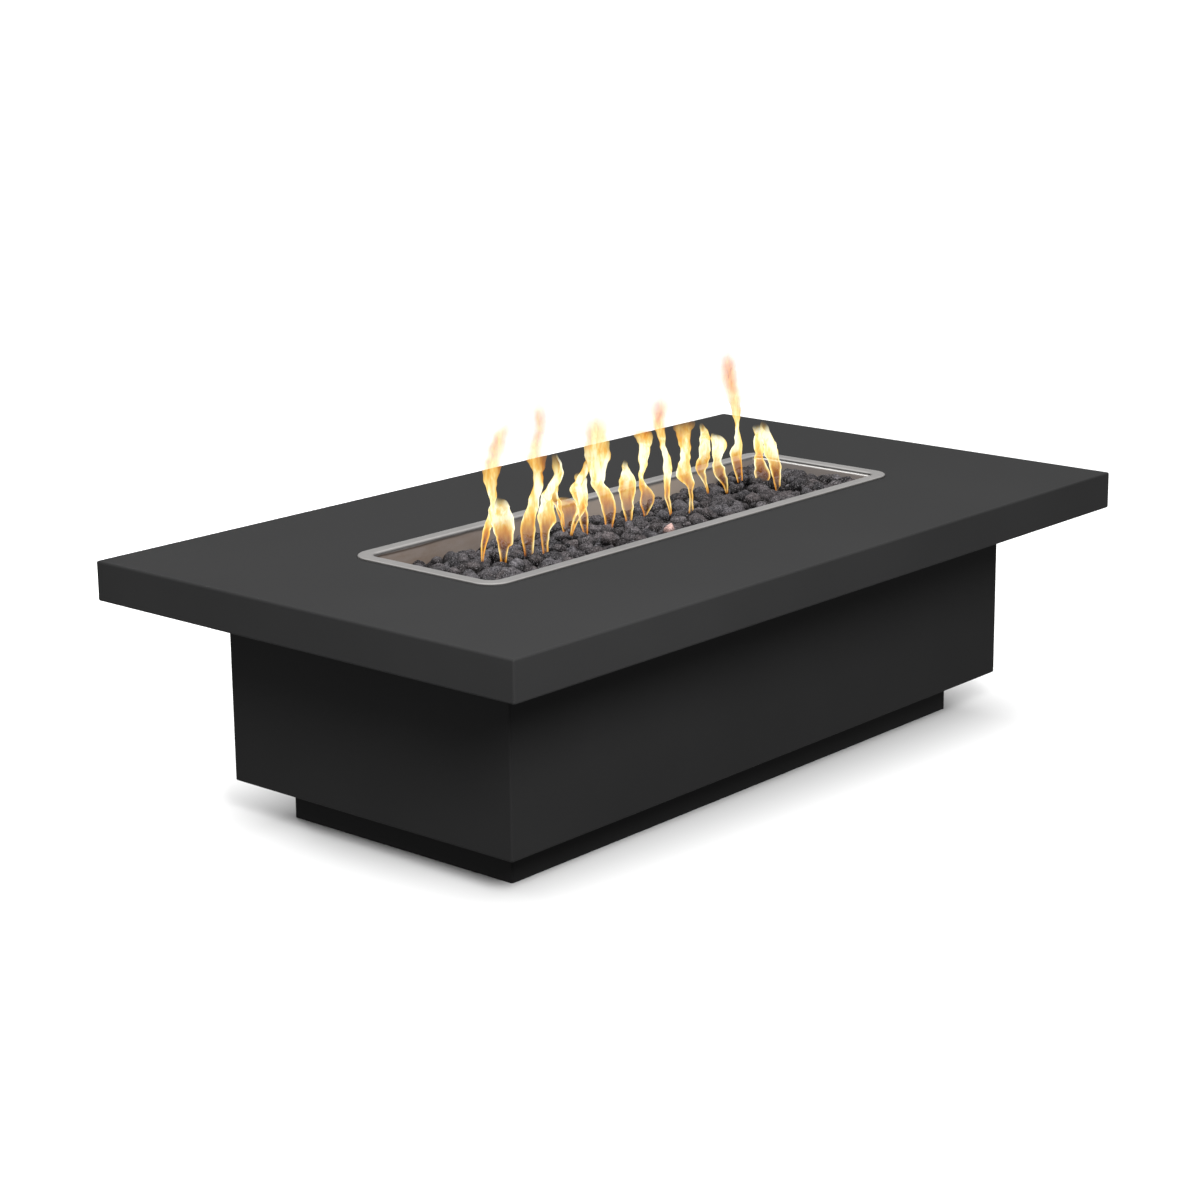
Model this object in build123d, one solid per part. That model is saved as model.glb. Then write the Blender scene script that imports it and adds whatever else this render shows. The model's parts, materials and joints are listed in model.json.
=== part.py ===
from build123d import *
import math
import os
import random

# Gas fire pit: a folded steel table on a recessed plinth, with a drop-in burner pan.
# Millimetres. X runs along the table, the front is -Y, Z is up, the origin is on the ground
# under the middle of the table.

# Table top
table_length = 1829.0
table_width = 1041.0
table_height = 507.0
top_thickness = 76.0
top_sheet = 3.0
top_lip = 30.0
bend_radius = 4.0

# Pedestal and plinth
pedestal_length = 1498.0
pedestal_width = 705.0
body_sheet = 2.5
pedestal_top_flange = 40.0
rear_strip = 25.0
rear_strip_inset = 12.0
plinth_length = 1345.0
plinth_width = 558.0
plinth_height = 77.0
plinth_top_flange = 40.0
plinth_foot_flange = 25.0
seam = 0.4

# Braces, posts and floor
brace_width = 40.0
brace_sheet = 2.5
brace_end_gap = 1.5
cross_brace_x = 690.0
long_brace_gap = 6.0
end_brace_y = 180.0
post_leg = 40.0
post_sheet = 3.0
rear_post_gap = 6.0
bend_clearance = 0.4
floor_slot_length = 120.0
floor_slot_width = 14.0
floor_slot_pitch = 190.0
floor_slot_columns = 6
floor_slot_row_y = 110.0

# Burner pan
pan_flange_length = 1214.0
pan_flange_width = 367.0
pan_flange_corner = 45.0
pan_flange_border = 28.0
pan_flange_rise = 4.0
pan_corner = 22.0
pan_depth = 115.0
pan_sheet = 2.0
pan_floor_bend = 8.0
pan_rim_bend = 5.0
pan_edge_bend = 2.5
pan_clearance = 3.0
weep_hole_radius = 4.0
weep_hole_inset = 60.0

# Burner
burner_length = 914.0
burner_tube_radius = 10.65
burner_tube_wall = 2.2
burner_lift = 30.0
port_radius = 2.0
port_pitch = 52.0
port_start_inset = 60.0
port_angle = 35.0
tee_length = 62.0
tee_radius = 15.0
tee_collar_radius = 17.5
tee_collar_length = 8.0
tee_socket = 22.0
tee_drop = 22.0
tee_drop_socket = 9.0
end_cap_length = 18.0
end_cap_radius = 14.0
end_cap_socket = 13.0
saddle_x = 300.0
saddle_width = 44.0
saddle_foot = 25.0
saddle_sheet = 2.5
pipe_fit = 0.05

# Feed under the pan
nipple_bore = 7.5
nipple_hole_gap = 0.4
locknut_flats = 32.0
locknut_height = 8.0
elbow_gap = 6.0
elbow_radius = 15.0
elbow_collar_radius = 17.5
elbow_collar_length = 7.0
elbow_reach = 26.0
elbow_socket = 12.0
mixer_spigot_radius = 9.0
mixer_body_radius = 13.0
mixer_body_length = 58.0
mixer_nut_flats = 22.0
mixer_nut_length = 16.0
mixer_bore = 7.0
mixer_air_hole_radius = 4.0
mixer_air_holes = 4
mixer_air_hole_inset = 12.0
orifice_radius = 1.2
orifice_length = 4.0

# Gas tubes and their nuts
gas_tube_radius = 6.35
gas_tube_wall = 1.0
gas_tube_bend = 36.0
tube_socket = 10.0
flare_nut_flats = 19.0
flare_nut_length = 14.0

# Key valve on the back panel
pipe_setback = 46.0
valve_x = 330.0
valve_drop_height = 90.0
valve_ball_radius = 12.0
valve_ball_bore = 6.0
valve_chamber_gap = 0.4
valve_seat_reach = 6.5
valve_seat_gap = 0.1
valve_seat_fit = 0.05
valve_barrel_radius = 17.0
valve_barrel_half = 16.0
valve_port_half = 34.0
valve_hex_flats = 30.0
valve_neck_radius = 11.0
valve_neck_reach = 9.0
stem_radius = 6.5
stem_fit = 0.05
stem_recess = 2.0
tang_length = 9.0
tang_width = 4.0
tang_depth = 3.0
tang_gap = 0.15
key_socket = 8.0
key_socket_depth = 14.0
key_fit = 0.1
key_tip_length = 12.0
key_shank_radius = 5.0
key_shank_length = 72.0
key_bar_radius = 5.0
key_bar_length = 64.0
valve_locknut_flats = 32.0
valve_locknut_height = 6.0
escutcheon_radius = 32.0
escutcheon_rim = 2.5
escutcheon_crown_radius = 16.0
wall_hole_gap = 0.5

# Gas inlet on the back panel
inlet_level = 30.0
inlet_body_radius = 11.5
inlet_thread_radius = 10.67
inlet_thread_length = 20.0
inlet_bore = 6.0
inlet_hex_flats = 34.0
inlet_hex_height = 8.0
inlet_riser_radius = 12.0
inlet_riser_height = 32.0

# Access door, hinges, pull and catch
door_opening_width = 440.0
door_opening_height = 220.0
door_gap = 2.0
door_depth = 12.0
door_sheet = 1.5
door_lip = 12.0
door_bend = 2.5
hinge_height = 60.0
hinge_spread = 130.0
hinge_leaf_width = 30.0
hinge_leaf_sheet = 2.0
knuckle_radius = 4.5
knuckle_lift = 0.4
knuckle_gap = 0.4
knuckle_clearance = 0.9
hinge_pin_radius = 2.5
hinge_pin_fit = 0.05
hinge_pin_head = 1.6
hinge_screw_spread = 36.0
pull_inset = 38.0
pull_base_radius = 9.0
pull_neck_radius = 5.0
pull_head_radius = 12.0
pull_height = 22.0
pull_base_height = 3.0
pull_head_height = 9.0
catch_height = 44.0
catch_reach = 14.0
catch_foot = 18.0
catch_thickness = 13.0
catch_face_gap = 0.3
magnet_height = 28.0
magnet_width = 8.0
magnet_depth = 6.0

# Louvred vents
vent_left_x = -500.0
vent_right_x = 560.0
vent_plate_length = 300.0
vent_plate_height = 118.0
vent_sheet = 1.5
vent_border = 18.0
louvre_count = 4
louvre_pitch = 20.0
louvre_radius = 12.0
louvre_margin = 35.0

# Fasteners
bolt_radius = 4.0
bolt_hole_radius = 4.5
bolt_head_flats = 13.0
bolt_head_height = 5.3
bolt_nut_height = 6.5
bolt_tip = 2.0
screw_radius = 2.1
screw_hole_radius = 2.4
screw_head_radius = 4.2
screw_head_height = 2.4
screw_tip = 3.0
thread_fit = 0.05
panel_screw_levels = (0.2, 0.5, 0.8)

# Lava stones
bed_clearance = 0.5
bed_pocket_clearance = 1.0
bed_cover = 2.0
rock_pitch = 42.0
rock_wall_gap = 2.0
rock_low = 27.0
rock_high = 45.0
rock_jitter = 0.3
rock_seed = 11

# Ranges of a stone's points, as shares of its cell's half width and of its height
rock_foot_reach = (0.45, 0.6)
rock_waist_reach = (0.72, 0.88)
rock_side_reach = (0.85, 0.95)
rock_crown_reach = (0.3, 0.6)
rock_waist_level = (0.3, 0.6)
rock_side_level = (0.7, 1.2)
rock_crown_level = (0.8, 1.0)

# Places that follow from the sizes above
pedestal_top = table_height - top_thickness + top_sheet
pedestal_height = pedestal_top - plinth_height
back_face = pedestal_width / 2
back_inner = back_face - body_sheet
corner_gap = bend_radius - body_sheet + bend_clearance
floor_bottom = plinth_height + body_sheet
floor_top = floor_bottom + body_sheet
wall_cut = 4 * body_sheet
brace_height = top_thickness - 2 * top_sheet
pan_length = pan_flange_length - 2 * pan_flange_border
pan_width = pan_flange_width - 2 * pan_flange_border
pan_bottom = table_height - pan_depth
pan_floor = pan_bottom + pan_sheet
pan_rim = table_height + pan_flange_rise
cutout_length = pan_length + 2 * (pan_sheet + pan_clearance)
cutout_width = pan_width + 2 * (pan_sheet + pan_clearance)
cutout_corner = pan_corner + pan_sheet + pan_clearance
burner_z = pan_floor + burner_lift
bed_top = burner_z + tee_collar_radius + bed_cover
pipe_y = back_inner - pipe_setback
elbow_top = pan_bottom - locknut_height - elbow_gap
feed_z = elbow_top - elbow_reach
valve_z = feed_z - valve_drop_height
inlet_z = floor_top + inlet_level
door_center_z = plinth_height + pedestal_height / 2
vent_z = door_center_z
mixer_start = elbow_reach
mixer_end = mixer_start + mixer_body_length + mixer_nut_length
neck_end = pipe_setback + body_sheet + valve_neck_reach
stem_end = neck_end - stem_recess
door_width = door_opening_width - 2 * door_gap
door_height = door_opening_height - 2 * door_gap
hinge_x = -door_opening_width / 2 + door_gap / 2
hinge_y = back_face + knuckle_radius + knuckle_lift
hinge_levels = (door_center_z - hinge_spread / 2, door_center_z + hinge_spread / 2)
gas_tube_bore = gas_tube_radius - gas_tube_wall
STANDING = (Align.CENTER, Align.CENTER, Align.MIN)
HANGING = (Align.CENTER, Align.CENTER, Align.MAX)

# Turns that take a piece drawn along +Z to +X, +Y or -Y
TO_X = Rot(0, 90, 0)
TO_Y = Rot(-90, 0, 0)
TO_BACK = Rot(90, 0, 0)


# General shapes
def block(x_range, y_range, z_range):
    """Box between two corners."""
    size = (x_range[1] - x_range[0], y_range[1] - y_range[0], z_range[1] - z_range[0])
    middle = (sum(x_range) / 2, sum(y_range) / 2, sum(z_range) / 2)
    return Pos(*middle) * Box(*size)


def rounded_prism(length, width, radius, bottom, top):
    """Upright prism with rounded corners."""
    return Pos(0, 0, bottom) * extrude(RectangleRounded(length, width, radius), amount=top - bottom)


def folded_tray(length, width, depth, sheet, lip, bend):
    """Folded sheet tray that opens downwards, with an in-turned lip; its face is at z = 0."""
    skin = fillet(Box(length, width, depth, align=HANGING).edges(), bend)
    hollow = Box(length - 2 * sheet, width - 2 * sheet, depth - 2 * sheet, align=HANGING)
    hollow = Pos(0, 0, -sheet) * fillet(hollow.edges(), bend - sheet)
    mouth = Pos(0, 0, -depth / 2) * Box(length - 2 * lip, width - 2 * lip, depth, align=HANGING)
    return skin - hollow - mouth


def hexagon(flats, height, bore):
    """Hexagon prism standing on z = 0, with a bore."""
    return extrude(RegularPolygon(flats / 2, 6, major_radius=False) - Circle(bore), amount=height)


def pipe(radius, bore, bottom, top):
    """Upright pipe."""
    return Pos(0, 0, bottom) * extrude(Circle(radius) - Circle(bore), amount=top - bottom)


def rod(radius, bottom, top):
    """Upright rod."""
    return Pos(0, 0, bottom) * Cylinder(radius, top - bottom, align=STANDING)


def group(solids):
    """Separate solids that make one node."""
    return Compound(children=list(solids))


def bolt_and_nut(grip):
    """Hexagon bolt with its head below z = 0 and its nut on top of the gripped sheets."""
    head = extrude(RegularPolygon(bolt_head_flats / 2, 6, major_radius=False), amount=-bolt_head_height)
    bolt = head + rod(bolt_radius, 0, grip + bolt_nut_height + bolt_tip)
    nut = Pos(0, 0, grip) * hexagon(bolt_head_flats, bolt_nut_height, bolt_radius + thread_fit)
    return [bolt, nut]


def screw(grip):
    """Pan-head screw with its head above z = 0 and its shank below."""
    head = rod(screw_head_radius, 0, screw_head_height)
    head = fillet(head.edges().group_by(Axis.Z)[-1], screw_head_height / 2)
    return head + rod(screw_radius, -grip - screw_tip, 0)


def channel(length):
    """Brace channel along X: web on y = 0, flanges towards +Y, standing on z = 0."""
    ends = (-length / 2, length / 2)
    skin = block(ends, (0, brace_width), (0, brace_height))
    skin = fillet(skin.edges().filter_by(Axis.X).group_by(Axis.Y)[0], bend_radius)
    hollow = block(ends, (brace_sheet, brace_width), (brace_sheet, brace_height - brace_sheet))
    hollow = fillet(hollow.edges().filter_by(Axis.X).group_by(Axis.Y)[0], bend_radius - brace_sheet)
    return skin - hollow


def rounded_corner(low, high, radius):
    """Rectangle between two corners, rounded at the low one."""
    middle = ((low[0] + high[0]) / 2, (low[1] + high[1]) / 2)
    sketch = Pos(*middle) * Rectangle(high[0] - low[0], high[1] - low[1])
    return fillet(sketch.vertices().group_by(Axis.X)[0].sort_by(Axis.Y)[0], radius)


def angle_bar(legs, sheet, bend, length):
    """Folded angle along Z, with its outer corner at the origin and its legs along +X and +Y."""
    skin = rounded_corner((0, 0), legs, bend)
    hollow = rounded_corner((sheet, sheet), legs, bend - sheet)
    return extrude(skin - hollow, amount=length)


def cut_all(shape, tools):
    """Cut each tool from the shape."""
    for tool in tools:
        shape = shape - tool
    return shape


# Patterns of fasteners
top_bolt_places = [
    (side * (cross_brace_x - brace_width / 2), end * (pedestal_width - pedestal_top_flange) / 2)
    for side in (-1, 1)
    for end in (-1, 1)
] + [
    (side * (pedestal_length - pedestal_top_flange) / 2, end * (end_brace_y + brace_width / 2))
    for side in (-1, 1)
    for end in (-1, 1)
]
plinth_bolt_places = [
    (side * plinth_length / 4, end * (plinth_width - plinth_top_flange) / 2)
    for side in (-1, 1)
    for end in (-1, 1)
] + [
    (side * (plinth_length - plinth_top_flange) / 2, end * plinth_width / 4)
    for side in (-1, 1)
    for end in (-1, 1)
]
panel_screw_places = [
    (side * (pedestal_length / 2 - body_sheet - rear_strip / 2), plinth_height + pedestal_height * share)
    for side in (-1, 1)
    for share in panel_screw_levels
]
vent_screw_places = [
    (
        center + side * (vent_plate_length - vent_border) / 2,
        vent_z + end * (vent_plate_height - vent_border) / 2,
    )
    for center in (vent_left_x, vent_right_x)
    for side in (-1, 1)
    for end in (-1, 1)
]
hinge_screw_offset = (hinge_leaf_width + knuckle_radius + knuckle_clearance) / 2
frame_screw_places = [
    (hinge_x - hinge_screw_offset, level + end * hinge_screw_spread / 2)
    for level in hinge_levels
    for end in (-1, 1)
]
leaf_screw_places = [
    (hinge_x + hinge_screw_offset, level + end * hinge_screw_spread / 2)
    for level in hinge_levels
    for end in (-1, 1)
]
catch_x = door_opening_width / 2 + door_gap
catch_screw_places = [
    (catch_x + catch_foot / 2, door_center_z + end * (catch_height - catch_foot) / 2) for end in (-1, 1)
]


def upright_holes(places, radius):
    """Round cutters along Z through the whole height at each (x, y)."""
    return [Pos(x, y, 0) * rod(radius, 0, table_height) for x, y in places]


def back_holes(places, radius):
    """Round cutters along Y through the back at each (x, z)."""
    return [Pos(x, back_face, z) * TO_Y * Cylinder(radius, pipe_setback) for x, z in places]


# Table top and its braces
def make_table_top():
    tray = folded_tray(table_length, table_width, top_thickness, top_sheet, top_lip, bend_radius)
    cutout = rounded_prism(cutout_length, cutout_width, cutout_corner, -top_thickness / 2, top_sheet)
    return Pos(0, 0, table_height) * (tray - cutout)


def make_cross_braces():
    length = table_width - 2 * (top_sheet + brace_end_gap)
    holes = upright_holes(top_bolt_places, bolt_hole_radius)
    braces = [
        Pos(side * cross_brace_x, 0, pedestal_top) * Rot(0, 0, side * 90) * channel(length)
        for side in (-1, 1)
    ]
    return group(cut_all(brace, holes) for brace in braces)


def make_long_braces():
    length = 2 * (cross_brace_x - brace_width)
    offset = cutout_width / 2 + long_brace_gap
    front = Pos(0, -offset, pedestal_top) * Rot(0, 0, 180) * channel(length)
    back = Pos(0, offset, pedestal_top) * channel(length)
    return group([front, back])


def make_end_braces():
    outer_end = table_length / 2 - top_sheet - brace_end_gap
    length = outer_end - cross_brace_x
    middle = (outer_end + cross_brace_x) / 2
    holes = upright_holes(top_bolt_places, bolt_hole_radius)
    braces = []
    for side in (-1, 1):
        braces.append(Pos(side * middle, end_brace_y, pedestal_top) * channel(length))
        braces.append(Pos(side * middle, -end_brace_y, pedestal_top) * Rot(0, 0, 180) * channel(length))
    return group(cut_all(brace, holes) for brace in braces)


# Pedestal
def pedestal_box(inset, bend):
    """Closed block of the pedestal, set in all round, with every bend but the rear uprights rounded."""
    box = Pos(0, 0, plinth_height + inset) * Box(
        pedestal_length - 2 * inset, pedestal_width - 2 * inset, pedestal_height - 2 * inset, align=STANDING
    )
    levels = box.edges().group_by(Axis.Z)
    front_uprights = box.edges().filter_by(Axis.Z).group_by(Axis.Y)[0]
    return fillet(levels[0] + levels[-1] + front_uprights, bend)


def pedestal_shell():
    """Four walls with in-turned flanges, before the back panel is parted from the wrap."""
    shell = pedestal_box(0, bend_radius) - pedestal_box(body_sheet, bend_radius - body_sheet)
    middle = plinth_height + pedestal_height / 2
    top_mouth = Pos(0, 0, middle) * Box(
        pedestal_length - 2 * pedestal_top_flange,
        pedestal_width - 2 * pedestal_top_flange,
        pedestal_height,
        align=STANDING,
    )
    bottom_mouth = Pos(0, 0, middle) * Box(
        plinth_length - 2 * plinth_top_flange,
        plinth_width - 2 * plinth_top_flange,
        pedestal_height,
        align=HANGING,
    )
    tools = upright_holes(top_bolt_places + plinth_bolt_places, bolt_hole_radius)
    return cut_all(shell, [top_mouth, bottom_mouth] + tools)


def back_zone(gap):
    """Space of the back panel: the rear wall with its top and bottom flanges."""
    half = pedestal_length / 2 - body_sheet - gap
    middle = plinth_height + pedestal_height / 2
    bottom_flange = (pedestal_width - plinth_width) / 2 + plinth_top_flange
    behind = back_face + body_sheet
    upper = block(
        (-half, half), (back_face - pedestal_top_flange + gap, behind), (middle, pedestal_top + body_sheet)
    )
    lower = block((-half, half), (back_face - bottom_flange + gap, behind), (0, middle))
    return upper + lower


def make_pedestal_wrap(shell):
    wrap = shell - back_zone(0)
    wall = pedestal_length / 2 - body_sheet
    strip_levels = (plinth_height + rear_strip_inset, pedestal_top - rear_strip_inset)
    for side in (-1, 1):
        across = sorted((side * wall, side * (wall - rear_strip)))
        wrap = wrap + block(across, (back_inner - body_sheet, back_inner), strip_levels)
    return cut_all(wrap, back_holes(panel_screw_places, screw_radius + thread_fit))


def vent_opening(center):
    length = vent_plate_length - 2 * vent_border
    height = vent_plate_height - 2 * vent_border
    return Pos(center, back_face, vent_z) * Box(length, wall_cut, height)


def make_back_panel(shell):
    panel = shell & back_zone(seam)
    opening = extrude(
        RectangleRounded(door_opening_width, door_opening_height, door_bend + door_gap),
        amount=wall_cut,
        both=True,
    )
    tools = [Pos(0, back_face, door_center_z) * TO_Y * opening]
    tools += [vent_opening(vent_left_x), vent_opening(vent_right_x)]
    tools += back_holes([(valve_x, valve_z)], valve_neck_radius + wall_hole_gap)
    tools += back_holes([(valve_x, inlet_z)], inlet_body_radius + wall_hole_gap)
    tools += back_holes(panel_screw_places, screw_hole_radius)
    tapped = vent_screw_places + frame_screw_places + catch_screw_places
    tools += back_holes(tapped, screw_radius + thread_fit)
    return cut_all(panel, tools)


def make_corner_posts():
    post = angle_bar((post_leg, post_leg), post_sheet, bend_radius, pedestal_top - body_sheet - floor_top)
    x = pedestal_length / 2 - body_sheet - corner_gap
    front = corner_gap - back_inner
    rear = back_inner - rear_post_gap - body_sheet
    corners = [(-x, front), (x, front), (x, rear), (-x, rear)]
    return group(
        Pos(*corner, floor_top) * Rot(0, 0, 90 * turns) * post for turns, corner in enumerate(corners)
    )


def make_floor_panel():
    length = pedestal_length - 2 * (body_sheet + corner_gap)
    width = pedestal_width - 2 * (body_sheet + corner_gap)
    panel = Pos(0, 0, floor_bottom) * Box(length, width, body_sheet, align=STANDING)
    slot = Pos(0, 0, floor_bottom - body_sheet) * extrude(
        SlotOverall(floor_slot_length, floor_slot_width), amount=3 * body_sheet
    )
    places = GridLocations(floor_slot_pitch, 2 * floor_slot_row_y, floor_slot_columns, 2)
    tools = [place * slot for place in places]
    return cut_all(panel, tools + upright_holes(plinth_bolt_places, bolt_hole_radius))


def make_plinth():
    ring = Box(plinth_length, plinth_width, plinth_height, align=STANDING)
    ring = fillet(ring.edges().filter_by(Axis.Z), bend_radius)
    hollow = Box(
        plinth_length - 2 * body_sheet,
        plinth_width - 2 * body_sheet,
        plinth_height - 2 * body_sheet,
        align=STANDING,
    )
    hollow = Pos(0, 0, body_sheet) * fillet(hollow.edges().filter_by(Axis.Z), bend_radius - body_sheet)
    middle = plinth_height / 2
    mouth = Pos(0, 0, middle) * Box(
        plinth_length - 2 * plinth_top_flange,
        plinth_width - 2 * plinth_top_flange,
        plinth_height,
        align=STANDING,
    )
    foot = Pos(0, 0, middle) * Box(
        plinth_length - 2 * plinth_foot_flange,
        plinth_width - 2 * plinth_foot_flange,
        plinth_height,
        align=HANGING,
    )
    holes = [Pos(x, y, middle) * rod(bolt_hole_radius, 0, plinth_height) for x, y in plinth_bolt_places]
    return cut_all(ring, [hollow, mouth, foot] + holes)


# Burner pan
def mouth_edges(pan, level):
    """Edges around the mouth of the pan at one level, where its wall turns out into the flange."""
    reach = pan_flange_border / 2
    edges = pan.edges().filter_by(Plane.XY).filter_by_position(Axis.Z, level - seam, level + seam)
    edges = [edge for edge in edges if abs(edge.center().X) < pan_length / 2 + reach]
    return [edge for edge in edges if abs(edge.center().Y) < pan_width / 2 + reach]


def make_burner_pan():
    flange = rounded_prism(pan_flange_length, pan_flange_width, pan_flange_corner, table_height, pan_rim)
    flange = fillet(flange.edges().group_by(Axis.Z)[-1], pan_edge_bend)
    under_flange = rounded_prism(
        pan_flange_length - 2 * pan_sheet,
        pan_flange_width - 2 * pan_sheet,
        pan_flange_corner - pan_sheet,
        table_height - pan_sheet,
        pan_rim - pan_sheet,
    )
    under_flange = fillet(under_flange.edges().group_by(Axis.Z)[-1], pan_edge_bend - pan_sheet)
    shell = rounded_prism(
        pan_length + 2 * pan_sheet,
        pan_width + 2 * pan_sheet,
        pan_corner + pan_sheet,
        pan_bottom,
        pan_rim - pan_sheet,
    )
    shell = fillet(shell.edges().group_by(Axis.Z)[0], pan_floor_bend)
    hollow = rounded_prism(pan_length, pan_width, pan_corner, pan_floor, pan_rim)
    hollow = fillet(hollow.edges().group_by(Axis.Z)[0], pan_floor_bend - pan_sheet)
    pan = flange - under_flange + shell - hollow
    pan = fillet(mouth_edges(pan, pan_rim), pan_rim_bend)
    pan = fillet(mouth_edges(pan, pan_rim - pan_sheet), pan_rim_bend - pan_sheet)
    holes = [Pos(0, 0, pan_bottom) * Cylinder(burner_tube_radius + nipple_hole_gap, pan_depth)]
    weeps = GridLocations(pan_length - 2 * weep_hole_inset, pan_width - 2 * weep_hole_inset, 2, 2)
    holes += [Pos(0, 0, pan_bottom) * place * Cylinder(weep_hole_radius, pan_depth) for place in weeps]
    return cut_all(pan, holes)


# Burner, drawn around its own axis and then lifted to burner_z
def make_burner_tee():
    run = TO_X * Cylinder(tee_radius, tee_length)
    collar = TO_X * Cylinder(tee_collar_radius, tee_collar_length)
    shift = (tee_length - tee_collar_length) / 2
    drop = rod(tee_radius, -tee_drop, 0)
    drop_collar = rod(tee_collar_radius, -tee_drop, -tee_drop + tee_collar_length)
    tee = run + Pos(-shift, 0, 0) * collar + Pos(shift, 0, 0) * collar + drop + drop_collar
    socket = TO_X * Cylinder(burner_tube_radius + pipe_fit, tee_socket, align=HANGING)
    way = TO_X * Cylinder(burner_tube_radius - burner_tube_wall, tee_length)
    end = tee_length / 2
    drop_socket = rod(burner_tube_radius + pipe_fit, -tee_drop, -tee_drop + tee_drop_socket)
    drop_way = rod(nipple_bore, -tee_drop, 0)
    tools = [way, Pos(end, 0, 0) * socket, Rot(0, 0, 180) * Pos(end, 0, 0) * socket, drop_socket, drop_way]
    return Pos(0, 0, burner_z) * cut_all(tee, tools)


def make_burner_tubes():
    start = tee_length / 2 - tee_socket
    end = burner_length / 2
    tube = TO_X * pipe(burner_tube_radius, burner_tube_radius - burner_tube_wall, start, end)
    count = int((end - end_cap_socket - port_start_inset) / port_pitch)
    for index in range(count):
        for lean in (-port_angle, port_angle):
            port = Rot(lean, 0, 0) * rod(port_radius, 0, 2 * burner_tube_radius)
            tube = tube - Pos(port_start_inset + index * port_pitch, 0, 0) * port
    return Pos(0, 0, burner_z) * group([tube, Rot(0, 0, 180) * tube])


def make_burner_end_caps():
    cap = rod(end_cap_radius, -end_cap_socket, end_cap_length - end_cap_socket)
    cap = fillet(cap.edges().group_by(Axis.Z)[-1], end_cap_length - end_cap_socket - burner_tube_wall)
    cap = TO_X * (cap - rod(burner_tube_radius + pipe_fit, -end_cap_socket, 0))
    right = Pos(burner_length / 2, 0, burner_z) * cap
    return group([right, Rot(0, 0, 180) * right])


def make_burner_saddles():
    bar = angle_bar((saddle_foot, burner_lift), saddle_sheet, bend_radius, saddle_width)
    stand = Pos(0, saddle_width / 2, -burner_lift) * TO_BACK * bar
    notch = TO_X * Cylinder(burner_tube_radius + pipe_fit, 2 * saddle_foot)
    right = Pos(saddle_x, 0, burner_z) * (stand - notch)
    return group([right, Rot(0, 0, 180) * right])


# Feed under the pan
def make_feed_nipple():
    bottom = elbow_top - elbow_socket
    top = burner_z - tee_drop + tee_drop_socket
    return pipe(burner_tube_radius, nipple_bore, bottom, top)


def make_pan_locknuts():
    nut = hexagon(locknut_flats, locknut_height, burner_tube_radius + thread_fit)
    return group([Pos(0, 0, pan_floor) * nut, Pos(0, 0, pan_bottom - locknut_height) * nut])


def make_feed_elbow():
    arm = rod(elbow_radius, 0, elbow_reach) + rod(
        elbow_collar_radius, elbow_reach - elbow_collar_length, elbow_reach
    )
    elbow = Sphere(elbow_radius) + arm + TO_X * arm
    up = rod(nipple_bore, 0, elbow_reach)
    up_socket = rod(burner_tube_radius + pipe_fit, elbow_reach - elbow_socket, elbow_reach)
    out_socket = TO_X * rod(mixer_spigot_radius + pipe_fit, elbow_reach - elbow_socket, elbow_reach)
    tools = [Sphere(nipple_bore), up, TO_X * up, up_socket, out_socket]
    return Pos(0, 0, feed_z) * cut_all(elbow, tools)


def make_air_mixer():
    spigot = rod(mixer_spigot_radius, mixer_start - elbow_socket, mixer_start)
    body = rod(mixer_body_radius, mixer_start, mixer_start + mixer_body_length)
    nut = Pos(0, 0, mixer_end - mixer_nut_length) * extrude(
        RegularPolygon(mixer_nut_flats / 2, 6, major_radius=False), amount=mixer_nut_length
    )
    chamber_end = mixer_end - tube_socket - orifice_length
    tools = [
        rod(mixer_bore, mixer_start - elbow_socket, chamber_end),
        rod(orifice_radius, chamber_end, mixer_end),
        rod(gas_tube_radius + pipe_fit, mixer_end - tube_socket, mixer_end),
    ]
    air_z = mixer_start + mixer_body_length - mixer_air_hole_inset
    for index in range(mixer_air_holes):
        turn = Rot(0, 0, index * 360 / mixer_air_holes)
        tools.append(Pos(0, 0, air_z) * turn * TO_X * rod(mixer_air_hole_radius, 0, 2 * mixer_body_radius))
    mixer = cut_all(spigot + body + nut, tools)
    return Pos(0, 0, feed_z) * TO_X * mixer


def make_feed_tube():
    start_z = valve_z + valve_port_half - tube_socket
    path = FilletPolyline(
        (valve_x, pipe_y, start_z),
        (valve_x, pipe_y, feed_z),
        (valve_x, 0, feed_z),
        (mixer_end - tube_socket, 0, feed_z),
        radius=gas_tube_bend,
    )
    section = Plane(path @ 0, z_dir=path % 0) * (Circle(gas_tube_radius) - Circle(gas_tube_bore))
    return sweep(section, path=path)


def make_supply_tube():
    bottom = inlet_z + inlet_riser_height - tube_socket
    top = valve_z - valve_port_half + tube_socket
    return Pos(valve_x, pipe_y, 0) * pipe(gas_tube_radius, gas_tube_bore, bottom, top)


def flare_nut():
    """Tube nut standing on z = 0, with a coned back."""
    nut = hexagon(flare_nut_flats, flare_nut_length, gas_tube_radius + thread_fit)
    cone = Cone(flare_nut_flats, gas_tube_radius + gas_tube_wall, flare_nut_length, align=STANDING)
    return nut & cone


def make_flare_nuts():
    nut = flare_nut()
    over_valve = Pos(valve_x, pipe_y, valve_z + valve_port_half) * nut
    under_valve = Pos(valve_x, pipe_y, valve_z - valve_port_half) * Rot(180, 0, 0) * nut
    over_inlet = Pos(valve_x, pipe_y, inlet_z + inlet_riser_height) * nut
    at_mixer = Pos(mixer_end, 0, feed_z) * TO_X * nut
    return group([over_valve, under_valve, over_inlet, at_mixer])


# Key valve, drawn around the middle of its ball: ports along Z, stem towards +Y
valve_place = Pos(valve_x, pipe_y, valve_z)
chamber_radius = valve_ball_radius + valve_chamber_gap


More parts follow.
